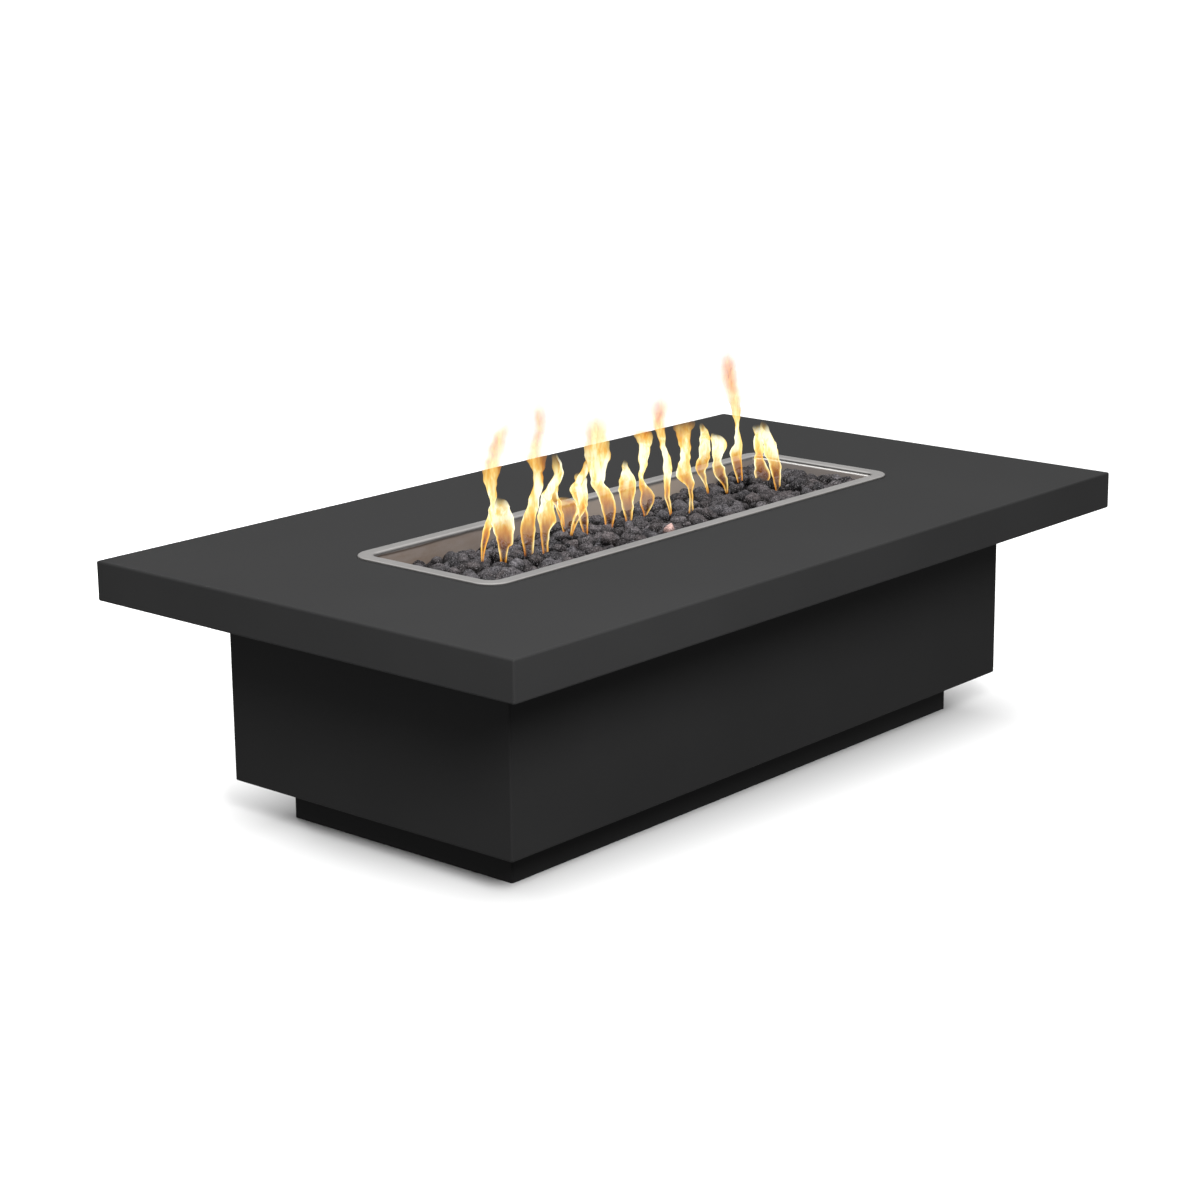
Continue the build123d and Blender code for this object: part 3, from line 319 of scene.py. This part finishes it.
def powder_coat(name, tone):
    """Satin black powder coat: fine orange peel, with slow changes of tone and gloss."""
    finish = Finish(name)
    cloud = finish.grain(3.0, 3.0)
    peel = finish.grain(420.0, 2.0)
    speck = finish.grain(1700.0, 1.0)
    dark, light = [(level, level, 1.01 * level) for level in (0.93 * tone, 1.07 * tone)]
    colour = finish.ramp(cloud, [(0.3, dark), (0.7, light)])
    finish.set(Base_Color=colour, Roughness=finish.range(cloud, 0.48, 0.52, 0.3, 0.7))
    finish.set(Specular_IOR_Level=0.05)
    finish.set(Normal=finish.bump(speck, 0.00002, 0.5, finish.bump(peel, 0.00006, 0.6)))
    return finish.material


def brushed(name, light, dark, roughness, stretch, scratch=0.00003):
    """Bare sheet metal with a drawn grain along one direction."""
    finish = Finish(name)
    lines = finish.grain(60.0, 4.0, 0.7, stretch)
    cloud = finish.grain(9.0, 3.0)
    drawn = finish.maths("MULTIPLY", lines, 0.6)
    clouded = finish.maths("MULTIPLY", cloud, 0.4)
    share = finish.maths("ADD", drawn, clouded)
    finish.set(Base_Color=finish.ramp(share, [(0.35, dark), (0.65, light)]), Metallic=1.0)
    finish.set(Roughness=finish.range(share, roughness - 0.08, roughness + 0.08, 0.3, 0.7))
    finish.set(Normal=finish.bump(lines, scratch, 0.6))
    return finish


def heat_stained_pan():
    """Stainless pan: brushed grey flange, and walls browned by heat and, on the left, by soot and a
    wandering dark line; the heat tint carries painted light over a middle stretch, and near the
    right-hand end a painted highlight line and a painted shade line run below the rim.
    """
    finish = brushed("stainless_pan", (0.44, 0.43, 0.42), (0.37, 0.36, 0.35), 0.5, (1.0, 14.0, 14.0))
    _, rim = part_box("burner_pan")
    pale = finish.shader.inputs["Base Color"].links[0].from_socket
    depth = finish.range(finish.height(), 0.0, 1.0, rim.z - stain_start, rim.z - stain_full)
    # Painted light: the walls' heat tint is lighter over a middle stretch of the pan.
    painted_lighting = finish.band(finish.along(), lit_stretch_middle, lit_stretch_half)
    tinted = finish.mix(depth, pale, finish.mix(painted_lighting, (0.29, 0.255, 0.235), (0.48, 0.395, 0.325)))
    left = finish.range(finish.along(), 1.0, 0.0, soot_full, soot_end)
    streak = finish.grain(15.0, 5.0, 0.7, (1.0, 1.0, 2.6))
    soot = finish.maths("MULTIPLY", left, finish.range(streak, 0.4, 1.0, 0.36, 0.62))
    stained = finish.mix(finish.maths("MULTIPLY", depth, soot), tinted, (0.22, 0.165, 0.13))
    # A dark brown line that wanders below the rim on the left-hand walls.
    wander = finish.range(finish.grain(9.0, 3.0), -dark_line_wander, dark_line_wander)
    level = finish.maths("ADD", finish.height(), wander)
    dark_line = finish.maths("MULTIPLY", finish.band(level, rim.z - dark_line_depth, dark_line_half), left)
    with_dark_line = finish.mix(dark_line, stained, (0.09, 0.065, 0.05))
    # Painted highlight: a pale line without metal sheen just below the rim, near its right-hand end.
    right = finish.range(finish.along(), 0.0, 1.0, rim.x - highlight_start, rim.x - highlight_full)
    line = finish.band(finish.height(), rim.z - highlight_depth, highlight_half)
    bright = finish.maths("MULTIPLY", line, right)
    with_painted_highlight = finish.mix(bright, with_dark_line, (0.95, 0.93, 0.90))
    # Painted shade: a dark line close under the rim, near its right-hand end.
    shade_band = finish.band(finish.height(), rim.z - shade_line_depth, shade_line_half)
    painted_shade_line = finish.maths("MULTIPLY", shade_band, right)
    finish.set(Base_Color=finish.mix(painted_shade_line, with_painted_highlight, (0.12, 0.115, 0.11)))
    sheen = finish.range(depth, 1.0, 0.55)
    finish.set(Metallic=finish.maths("MULTIPLY", sheen, finish.range(bright, 1.0, 0.0)))
    return finish.material


def galvanised():
    """Zinc-coated steel: overlapping spangles of slightly different grey."""
    finish = Finish("galvanised_zinc")
    spangle = finish.add("ShaderNodeTexVoronoi")
    finish.feed(spangle.inputs["Vector"], finish.place)
    finish.feed(spangle.inputs["Scale"], 90.0)
    dull, bright = (0.36, 0.37, 0.385), (0.52, 0.53, 0.545)
    tone = finish.ramp(spangle.outputs["Color"], [(0.2, dull), (0.8, bright)])
    cloud = finish.grain(25.0, 4.0)
    finish.set(Base_Color=tone, Metallic=0.6, Roughness=finish.range(cloud, 0.42, 0.6, 0.3, 0.7))
    finish.set(Normal=finish.bump(cloud, 0.0002, 0.3))
    return finish.material


def black_iron():
    """Cast iron pipe fittings with a rough mill skin."""
    finish = Finish("black_iron_skin")
    skin = finish.grain(700.0, 4.0, 0.6)
    rust = finish.grain(60.0, 5.0, 0.65)
    tone = finish.ramp(rust, [(0.45, (0.035, 0.035, 0.038)), (0.75, (0.085, 0.062, 0.05))])
    finish.set(Base_Color=tone, Metallic=0.55, Roughness=finish.range(skin, 0.5, 0.72))
    finish.set(Normal=finish.bump(skin, 0.0003, 0.5))
    return finish.material


def brass():
    """Machined brass with turning marks and a little tarnish."""
    finish = Finish("machined_brass")
    tarnish = finish.grain(90.0, 4.0, 0.6)
    marks = finish.grain(1500.0, 2.0)
    tone = finish.ramp(tarnish, [(0.35, (0.74, 0.54, 0.24)), (0.75, (0.46, 0.31, 0.13))])
    finish.set(Base_Color=tone, Metallic=1.0, Roughness=finish.range(tarnish, 0.22, 0.42, 0.3, 0.7))
    finish.set(Normal=finish.bump(marks, 0.00003, 0.5))
    return finish.material


def chrome():
    """Plated fittings: bright, with faint haze."""
    finish = Finish("chrome_plate")
    haze = finish.grain(120.0, 4.0)
    tone = finish.ramp(haze, [(0.3, (0.80, 0.80, 0.82)), (0.8, (0.70, 0.70, 0.72))])
    finish.set(Base_Color=tone, Metallic=1.0, Roughness=finish.range(haze, 0.06, 0.16, 0.3, 0.7))
    return finish.material


def moulded(name, low, high, roughness):
    """Moulded plastic or blackened steel with a fine matt grain."""
    finish = Finish(name)
    grain = finish.grain(1300.0, 2.0)
    cloud = finish.grain(80.0, 3.0)
    finish.set(Base_Color=finish.ramp(cloud, [(0.3, low), (0.7, high)]))
    finish.set(Roughness=finish.range(cloud, roughness - 0.06, roughness + 0.06, 0.3, 0.7))
    finish.set(Normal=finish.bump(grain, 0.00005, 0.5))
    return finish.material


def lava():
    """Porous volcanic stone: tone by stone, with painted shade towards each stone's foot; pits of
    several sizes, darkened with painted shade; and patches of dust.
    """
    finish = Finish("lava_stone")
    tone = finish.add("ShaderNodeVertexColor", layer_name="tone").outputs["Color"]
    pits = finish.maths("SMOOTH_MIN", finish.cells(330.0), finish.cells(750.0))
    pit = finish.range(pits, 0.0, 1.0, 0.05, 0.42)
    mottle = finish.grain(160.0, 5.0, 0.65)
    grain = finish.grain(900.0, 4.0, 0.7)
    # Painted shade: the pits are darkened; the mottle varies the tone at random.
    pit_shade = finish.range(pit, 0.1, 1.1)
    shade = finish.maths("MULTIPLY", pit_shade, finish.range(mottle, 0.35, 2.0, 0.3, 0.7))
    dust = finish.range(finish.grain(430.0, 2.0), 0.0, 0.75, 0.58, 0.67)
    stone = finish.mix(1.0, tone, shade, "MULTIPLY")
    finish.set(Base_Color=finish.mix(dust, stone, (0.20, 0.19, 0.195)), Roughness=0.92)
    finish.set(Specular_IOR_Level=0.25)
    finish.set(Normal=finish.bump(grain, 0.001, 0.7, finish.bump(pit, 0.0028, 1.0)))
    return finish.material


def lava_grit():
    """The finer bed under the stones: rounded grains, with painted shade in the gaps between them."""
    finish = Finish("lava_grit")
    grains = finish.cells(140.0)
    mottle = finish.grain(400.0, 4.0, 0.7)
    # Painted shade: lighter at each grain's middle, darker towards the gaps between grains.
    tone = finish.ramp(grains, [(0.1, (0.085, 0.082, 0.085)), (0.6, (0.02, 0.02, 0.021))])
    finish.set(Base_Color=tone, Roughness=0.95)
    rounded = finish.bump(finish.range(grains, 1.0, 0.0), 0.005, 0.9)
    finish.set(Normal=finish.bump(mottle, 0.001, 0.6, rounded))
    return finish.material


def floor_paint():
    """Pale studio floor that grows white with the distance from the plinth, as in the photograph: its
    glow paints a shadow around the plinth.
    """
    finish = Finish("studio_floor")
    cloud = finish.grain(0.7, 2.0)
    finish.set(Base_Color=finish.ramp(cloud, [(0.0, (0.44, 0.44, 0.44)), (1.0, (0.46, 0.46, 0.46))]))
    finish.set(Roughness=0.9, Specular_IOR_Level=0.1)
    _, plinth_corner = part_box("plinth")
    either_side = finish.vector_maths("ABSOLUTE", finish.place)
    beyond = finish.vector_maths("SUBTRACT", either_side, plinth_corner)
    outside = finish.vector_maths("MAXIMUM", beyond, (0.0, 0.0, 0.0))
    away = finish.add("ShaderNodeVectorMath", operation="LENGTH")
    finish.feed(away.inputs[0], outside)
    # Painted shadow: the glow is least at the plinth and full at the reach.
    glow = finish.range(away.outputs["Value"], 0.0, floor_glow, 0.0, painted_shadow_reach)
    finish.set(Emission_Color=(1.0, 1.0, 1.0, 1.0), Emission_Strength=glow)
    return finish.material


def wall_paint():
    """White studio wall, lit so that it reads as paper."""
    finish = Finish("studio_wall")
    cloud = finish.grain(0.05, 2.0)
    finish.set(Base_Color=finish.ramp(cloud, [(0.0, (0.8, 0.8, 0.8)), (1.0, (0.84, 0.84, 0.84))]))
    finish.set(Roughness=0.9, Emission_Color=(1.0, 1.0, 1.0, 1.0), Emission_Strength=1.0)
    return finish.material


def flame_glow():
    """Burning gas: orange where it is thin, pale yellow where it is hot."""
    finish = Finish("flame_glow")
    nodes = finish.tree.nodes
    cover = finish.add("ShaderNodeAttribute", attribute_name="cover").outputs["Fac"]
    heat = finish.add("ShaderNodeAttribute", attribute_name="warmth").outputs["Fac"]
    wisp = finish.grain(30.0, 3.0, 0.55, (1.0, 1.0, 0.3))
    thin = finish.maths("MULTIPLY", cover, finish.range(wisp, 0.7, 1.15, 0.32, 0.68))
    streak = finish.grain(70.0, 3.0, 0.6, (1.0, 1.0, 0.2))
    heat = finish.maths("ADD", heat, finish.range(streak, -0.38, 0.12, 0.36, 0.60))
    colour = finish.ramp(heat, [
        (0.0, (0.55, 0.12, 0.01)), (0.3, (0.92, 0.33, 0.04)), (0.55, (1.0, 0.54, 0.10)),
        (0.8, (1.0, 0.78, 0.30)), (1.0, (1.0, 0.95, 0.70)),
    ])
    glow = finish.add("ShaderNodeEmission")
    finish.feed(glow.inputs["Color"], colour)
    finish.feed(glow.inputs["Strength"], finish.range(heat, 0.95, 1.45))
    clear = finish.add("ShaderNodeBsdfTransparent")
    blend = finish.add("ShaderNodeMixShader")
    finish.feed(blend.inputs[0], thin)
    finish.feed(blend.inputs[1], clear.outputs[0])
    finish.feed(blend.inputs[2], glow.outputs[0])
    nodes.remove(finish.shader)
    finish.feed(nodes["Material Output"].inputs["Surface"], blend.outputs[0])
    return finish.material


def new_object(name, points, faces, material):
    mesh = bpy.data.meshes.new(name)
    mesh.from_pydata([tuple(p) for p in points], [], [tuple(f) for f in faces])
    mesh.update()
    mesh.materials.append(material)
    piece = bpy.data.objects.new(name, mesh)
    bpy.context.scene.collection.objects.link(piece)
    for face in mesh.polygons:
        face.use_smooth = True
    return piece


def ball(facets):
    """Directions and triangles of an evenly divided ball."""
    shape = bmesh.new()
    bmesh.ops.create_icosphere(shape, subdivisions=facets, radius=1.0)
    points = np.array([v.co[:] for v in shape.verts])
    faces = np.array([[v.index for v in f.verts] for f in shape.faces])
    shape.free()
    return points / np.linalg.norm(points, axis=1, keepdims=True), faces


def stones_of(node):
    """Each stone of a node: its middle, its face normals and the faces' distances from the middle."""
    mesh = frame["nodes"][node].data
    mesh.calc_loop_triangles()
    corners = np.array([v.co[:] for v in mesh.vertices])
    triangles = np.array([t.vertices[:] for t in mesh.loop_triangles])
    points, index = np.unique(corners.round(6), axis=0, return_inverse=True)
    triangles = index.reshape(-1)[triangles]
    group = np.arange(len(points))
    changed = True
    while changed:
        least = group[triangles].min(axis=1)
        before = group.copy()
        for column in range(3):
            np.minimum.at(group, triangles[:, column], least)
        group = group[group]
        changed = bool((group != before).any())
    stones = []
    for label in np.unique(group[triangles]):
        own = triangles[(group[triangles] == label).any(axis=1)]
        a, b, c = points[own[:, 0]], points[own[:, 1]], points[own[:, 2]]
        normals = np.cross(b - a, c - a)
        normals = normals / np.linalg.norm(normals, axis=1, keepdims=True)
        middle = points[np.unique(own)].mean(axis=0)
        normals, first = np.unique(normals.round(3), axis=0, return_index=True)
        stones.append((middle, normals, ((a[first] - middle) * normals).sum(axis=1)))
    return stones


def stone_points(directions, normals, reach, middle, swell):
    """A stone's surface: its flats with rounded edges, then lumps, hollows and open pores."""
    facing = np.maximum(directions @ normals.T, least_facing) / reach
    radius = (facing ** edge_power).sum(axis=1) ** (-1.0 / edge_power)
    radius = np.minimum(radius, stone_spike * np.median(radius))
    points = middle + directions * radius[:, None] * swell
    size = float(radius.mean())
    moved = np.empty_like(points)
    lump_fineness, *lump_kind = stone_lumps
    grain_fineness, *grain_kind = stone_grain
    for n, point in enumerate(points):
        at = Vector(point)
        lump = noise.fractal(at * (lump_fineness / size), *lump_kind)
        grain = noise.fractal(at * (grain_fineness / size), *grain_kind)
        pore = noise.voronoi(at * (pore_fineness / size))[0][0]
        push = lump_height * lump + grain_height * grain - pore_depth * max(0.0, pore_reach - pore)
        moved[n] = point + directions[n] * size * push
    return moved


def tone_of(draw):
    """Stones run from charcoal to ash grey, some a little brown."""
    level = draw.uniform(*stone_greys)
    warm = draw.uniform(*stone_warmths)
    return (level * (1.03 + warm), 0.96 * level, level * (1.02 - 0.6 * warm), 1.0)


def scattered(draw, low, high, count, apart):
    """Random places in a rectangle, no two closer than a given distance."""
    places = []
    for _ in range(tries_for_each * count):
        place = (draw.uniform(low[0], high[0]), draw.uniform(low[1], high[1]))
        if all(math.dist(place, other) >= apart for other in places):
            places.append(place)
        if len(places) == count:
            break
    return places


def loose_stone(draw, place, top, radius):
    """A stone that isn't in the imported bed: its middle, flats and their distances from the middle."""
    normals = []
    for _ in range(loose_flats):
        normals.append(Vector(draw.gauss(0.0, 1.0) for _ in range(3)).normalized()[:])
    reach = [radius * draw.uniform(*loose_reach) for _ in normals]
    return np.array((*place, top - loose_top * radius)), np.array(normals), np.array(reach)


def smooth_step(start, end, value):
    """0 up to start, 1 from end, and an even rise between them."""
    share = min(max((value - start) / (end - start), 0.0), 1.0)
    return share * share * (3.0 - 2.0 * share)


def heap(x):
    """How much higher the bed lies towards its right-hand end."""
    rise, up, fall, end = heap_places
    return heap_rise * smooth_step(rise, up, x) * (1.0 - heap_fall * smooth_step(fall, end, x))


def lava_bed(material):
    """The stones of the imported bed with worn, porous surfaces, and smaller ones lying among them."""
    draw = random.Random(stone_seed)
    low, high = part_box("lava_rocks")
    packed = stones_of("lava_rocks")
    beds = [(packed, stone_facets, stone_swell)]
    for count, apart, radii, tops, facets, start in loose_beds:
        inset = radii[1] + loose_inset
        near = (max(low.x + inset, start), low.y + inset)
        places = scattered(draw, near, (high.x - inset, high.y - inset), count, apart)
        bed = []
        for place in places:
            top = min(draw.uniform(*tops) + heap(place[0]), bed_limit)
            bed.append(loose_stone(draw, place, top, draw.uniform(*radii)))
        beds.append((bed, facets, 1.0))
    beds.append(([loose_stone(draw, *pink_stone)], stone_facets, 1.0))
    points, faces, shaded_tones, count = [], [], [], 0
    for bed, facets, swell in beds:
        directions, triangles = ball(facets)
        for middle, normals, reach in bed:
            shape = stone_points(directions, normals, reach, middle, swell)
            tone = pink_tone if bed is beds[-1][0] else tone_of(draw)
            points.append(shape)
            faces.append(triangles + count)
            # Painted shade: each stone's tone darkens towards its foot and is full on its crown.
            for direction in directions:
                up = smooth_step(0.0, stone_full_tone, direction[2])
                painted_lighting = stone_foot_shade + (1.0 - stone_foot_shade) * up
                shaded_tones.append((tone[0] * painted_lighting, tone[1] * painted_lighting, tone[2] * painted_lighting, 1.0))
            count += len(shape)
    piece = new_object("lava_bed", np.concatenate(points), np.concatenate(faces).tolist(), material)
    layer = piece.data.color_attributes.new("tone", "FLOAT_COLOR", "POINT")
    layer.data.foreach_set("color", np.array(shaded_tones, np.float32).ravel())
    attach(piece, "root")
    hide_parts("lava_rocks")
    return piece


def smooth_track(values, share):
    """A smooth curve through evenly spaced values, read at a share of its length."""
    place = share * (len(values) - 1)
    start = min(int(place), len(values) - 2)
    a, b, c, d = [values[min(max(start + step, 0), len(values) - 1)] for step in (-1, 0, 1, 2)]
    f = place - start
    return b + 0.5 * f * (c - a + f * (2 * a - 5 * b + 4 * c - d + f * (3 * (b - c) + d - a)))


def flame(number, sheet, material):
    """One sheet of burning gas: a flattened tube with bright edges, from its foot to a soft tip."""
    foot_x, foot_y, height, drifts, halves = sheet
    height = height * millimetre
    side = camera_aim.cross(Vector((0.0, 0.0, 1.0))).normalized()
    back = Vector((-side.y, side.x, 0.0))
    foot = Vector((foot_x * millimetre, foot_y * millimetre, flame_foot))
    shift = Vector((0.0, 0.0, flame_step * number))
    points, covers, heats = [], [], []
    for row in range(flame_rows + 1):
        t = row / flame_rows
        level = height * t
        tip = max(0.0, (t - tip_start) / (1.0 - tip_start))
        close = math.sqrt(max(0.0, 1.0 - tip ** 2))
        high = smooth_step(*spread_heights, level)
        drawn = max(smooth_track(halves, t) * millimetre, flame_half_least)
        half = drawn * close * (1.0 + flame_spread * high) + flame_half_tip
        middle = foot + side * smooth_track(drifts, t) * millimetre + Vector((0.0, 0.0, level))
        middle += back * sway_size * t * math.sin(sway_turns * t + number)
        fade = 1.0 - smooth_step(fade_start, 1.0, t)
        power = float(np.interp(level, *edge_softness))
        ease = smooth_step(0.0, lick_full, t)
        line_heat = float(np.interp(level, *edge_heat))
        body_heat = float(np.interp(level, *sheet_heat))
        for k in range(flame_around):
            angle = 2.0 * math.pi * k / flame_around
            across = math.cos(angle)
            point = middle + side * half * across + back * half * flame_depth * math.sin(angle)
            lick = noise.noise_vector(point * lick_fineness + shift)
            flick = noise.noise_vector(point * flick_fineness + shift)
            points.append(point + (lick_size * lick + flick_size * flick) * ease)
            line = math.exp(-(half * (1.0 - abs(across)) / flame_line) ** 2)
            edge = line * float(np.interp(level, *edge_cover))
            body = float(np.interp(level, *sheet_cover)) * (1.0 - abs(across) ** power)
            share = edge / (edge + body + 1e-6)
            warm = share * line_heat + (1.0 - share) * body_heat
            covers.append(fade * min(1.0, edge + body))
            heats.append(warm - spread_cooling * high * across * across)
    faces = []
    for row in range(flame_rows):
        for k in range(flame_around):
            a, b = row * flame_around + k, row * flame_around + (k + 1) % flame_around
            faces.append((a, b, b + flame_around, a + flame_around))
    piece = new_object(f"flame_{number:02d}", points, faces, material)
    for label, values in (("cover", covers), ("warmth", heats)):
        layer = piece.data.attributes.new(label, "FLOAT", "POINT")
        layer.data.foreach_set("value", values)
    piece.visible_shadow = False
    piece.visible_diffuse = False
    piece.visible_glossy = False


def dress_nodes(finishes, special):
    """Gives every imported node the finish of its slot, or its own."""
    for part in frame["record"]["subparts"]:
        piece = frame["nodes"][part["node"]]
        material = special.get(part["node"]) or finishes[part["material_slot"]]
        if not piece.data.materials:
            piece.data.materials.append(material)
        for holder in piece.material_slots:
            holder.material = material


def studio():
    """White floor, wall and sky, the soft boxes and the photograph's camera."""
    signs = ((-1, -1), (1, -1), (1, 1), (-1, 1))
    corners = [(x * floor_half, y * floor_half, -floor_drop) for x, y in signs]
    floor = new_object("studio_floor", corners, [(0, 1, 2, 3)], floor_paint())
    floor.visible_diffuse = False
    floor.visible_glossy = False
    studio_wall()
    world = bpy.data.worlds.new("studio_sky")
    world.use_nodes = True
    sky_light(world.node_tree)
    for settings in soft_boxes:
        soft_box(*settings)
    scene = bpy.context.scene
    scene.world = world
    data = bpy.data.cameras.new("camera")
    data.lens = camera_lens
    data.shift_x, data.shift_y = camera_shift
    data.clip_end = camera_reach
    camera = bpy.data.objects.new("camera", data)
    camera.location = camera_place
    face_along(camera, camera_aim)
    scene.collection.objects.link(camera)
    scene.camera = camera
    scene.view_settings.view_transform = "Standard"
    scene.view_settings.look = "None"
    scene.cycles.transparent_max_bounces = clear_layers


def studio_wall():
    """A coved wall around the floor that only the camera sees, so it adds no light and no shade."""
    profile = []
    for turn in cove_turns:
        reach = wall_radius - wall_cove * (1.0 - math.sin(turn))
        profile.append((reach, wall_cove * (1.0 - math.cos(turn))))
    profile.append((wall_radius, wall_height))
    points, faces = [], []
    for row, (reach, height) in enumerate(profile):
        for k in range(wall_sides):
            angle = 2.0 * math.pi * k / wall_sides
            points.append((reach * math.cos(angle), reach * math.sin(angle), height - floor_drop))
            if row:
                a, b = row * wall_sides + k, row * wall_sides + (k + 1) % wall_sides
                faces.append((a, b, b - wall_sides, a - wall_sides))
    wall = new_object("studio_wall", points, faces, wall_paint())
    for ray in ("diffuse", "glossy", "transmission", "shadow"):
        setattr(wall, f"visible_{ray}", False)


def face_along(piece, direction):
    piece.rotation_mode = "QUATERNION"
    piece.rotation_quaternion = direction.to_track_quat("-Z", "Y")


def sky_light(tree):
    """White light that grows from the horizon to the zenith, as under a wide overhead diffuser."""
    place = tree.nodes.new("ShaderNodeTexCoord")
    parts = tree.nodes.new("ShaderNodeSeparateXYZ")
    rise = tree.nodes.new("ShaderNodeMapRange")
    rise.inputs["From Min"].default_value = -1.0
    level = tree.nodes.new("ShaderNodeValToRGB")
    fill_ramp(level, [(at, (share, share, share)) for at, share in sky_levels])
    sky = tree.nodes["Background"]
    sky.inputs["Strength"].default_value = sky_peak
    tree.links.new(place.outputs["Generated"], parts.inputs["Vector"])
    tree.links.new(parts.outputs["Z"], rise.inputs["Value"])
    tree.links.new(rise.outputs["Result"], level.inputs["Fac"])
    tree.links.new(level.outputs["Color"], sky.inputs["Color"])


def soft_box(name, place, aim, power):
    """A round light that the metal doesn't mirror."""
    data = bpy.data.lights.new(name, "AREA")
    data.shape = "DISK"
    data.size = soft_box_size
    data.energy = power
    light = bpy.data.objects.new(name, data)
    light.location = place
    light.visible_glossy = False
    face_along(light, aim - place)
    bpy.context.scene.collection.objects.link(light)


steel_light, steel_dark = (0.60, 0.58, 0.56), (0.46, 0.445, 0.43)
stainless = brushed("stainless_brushed", steel_light, steel_dark, 0.32, (1.0, 12.0, 12.0))
finishes = {
    # Painted shade: the base's coat is a darker copy of the top's.
    "powder_coat": powder_coat("powder_coat_shaded_base", 0.0125),
    "galvanised_steel": galvanised(),
    "stainless": stainless.material,
    "black_iron": black_iron(),
    "brass": brass(),
    "chrome": chrome(),
    "black_screws": moulded("black_oxide", (0.03, 0.03, 0.032), (0.05, 0.05, 0.052), 0.45),
    "seat_plastic": moulded("seat_plastic", (0.78, 0.78, 0.76), (0.84, 0.84, 0.82), 0.5),
    "black_plastic": moulded("black_plastic", (0.022, 0.022, 0.023), (0.032, 0.032, 0.033), 0.55),
    "magnet": moulded("magnet_ferrite", (0.08, 0.08, 0.085), (0.13, 0.13, 0.135), 0.6),
    "lava": lava_grit(),
}
dress_nodes(finishes, {
    "burner_pan": heat_stained_pan(),
    "table_top": powder_coat("powder_coat_top", 0.0175),
    # Painted shade: the plinth's coat is a darker copy again.
    "plinth": powder_coat("powder_coat_shaded_plinth", 0.008),
})
lava_bed(lava())
glow = flame_glow()
noise.seed_set(flame_seed)
for number, sheet in enumerate(flame_sheets, 1):
    flame(number, sheet, glow)
studio()
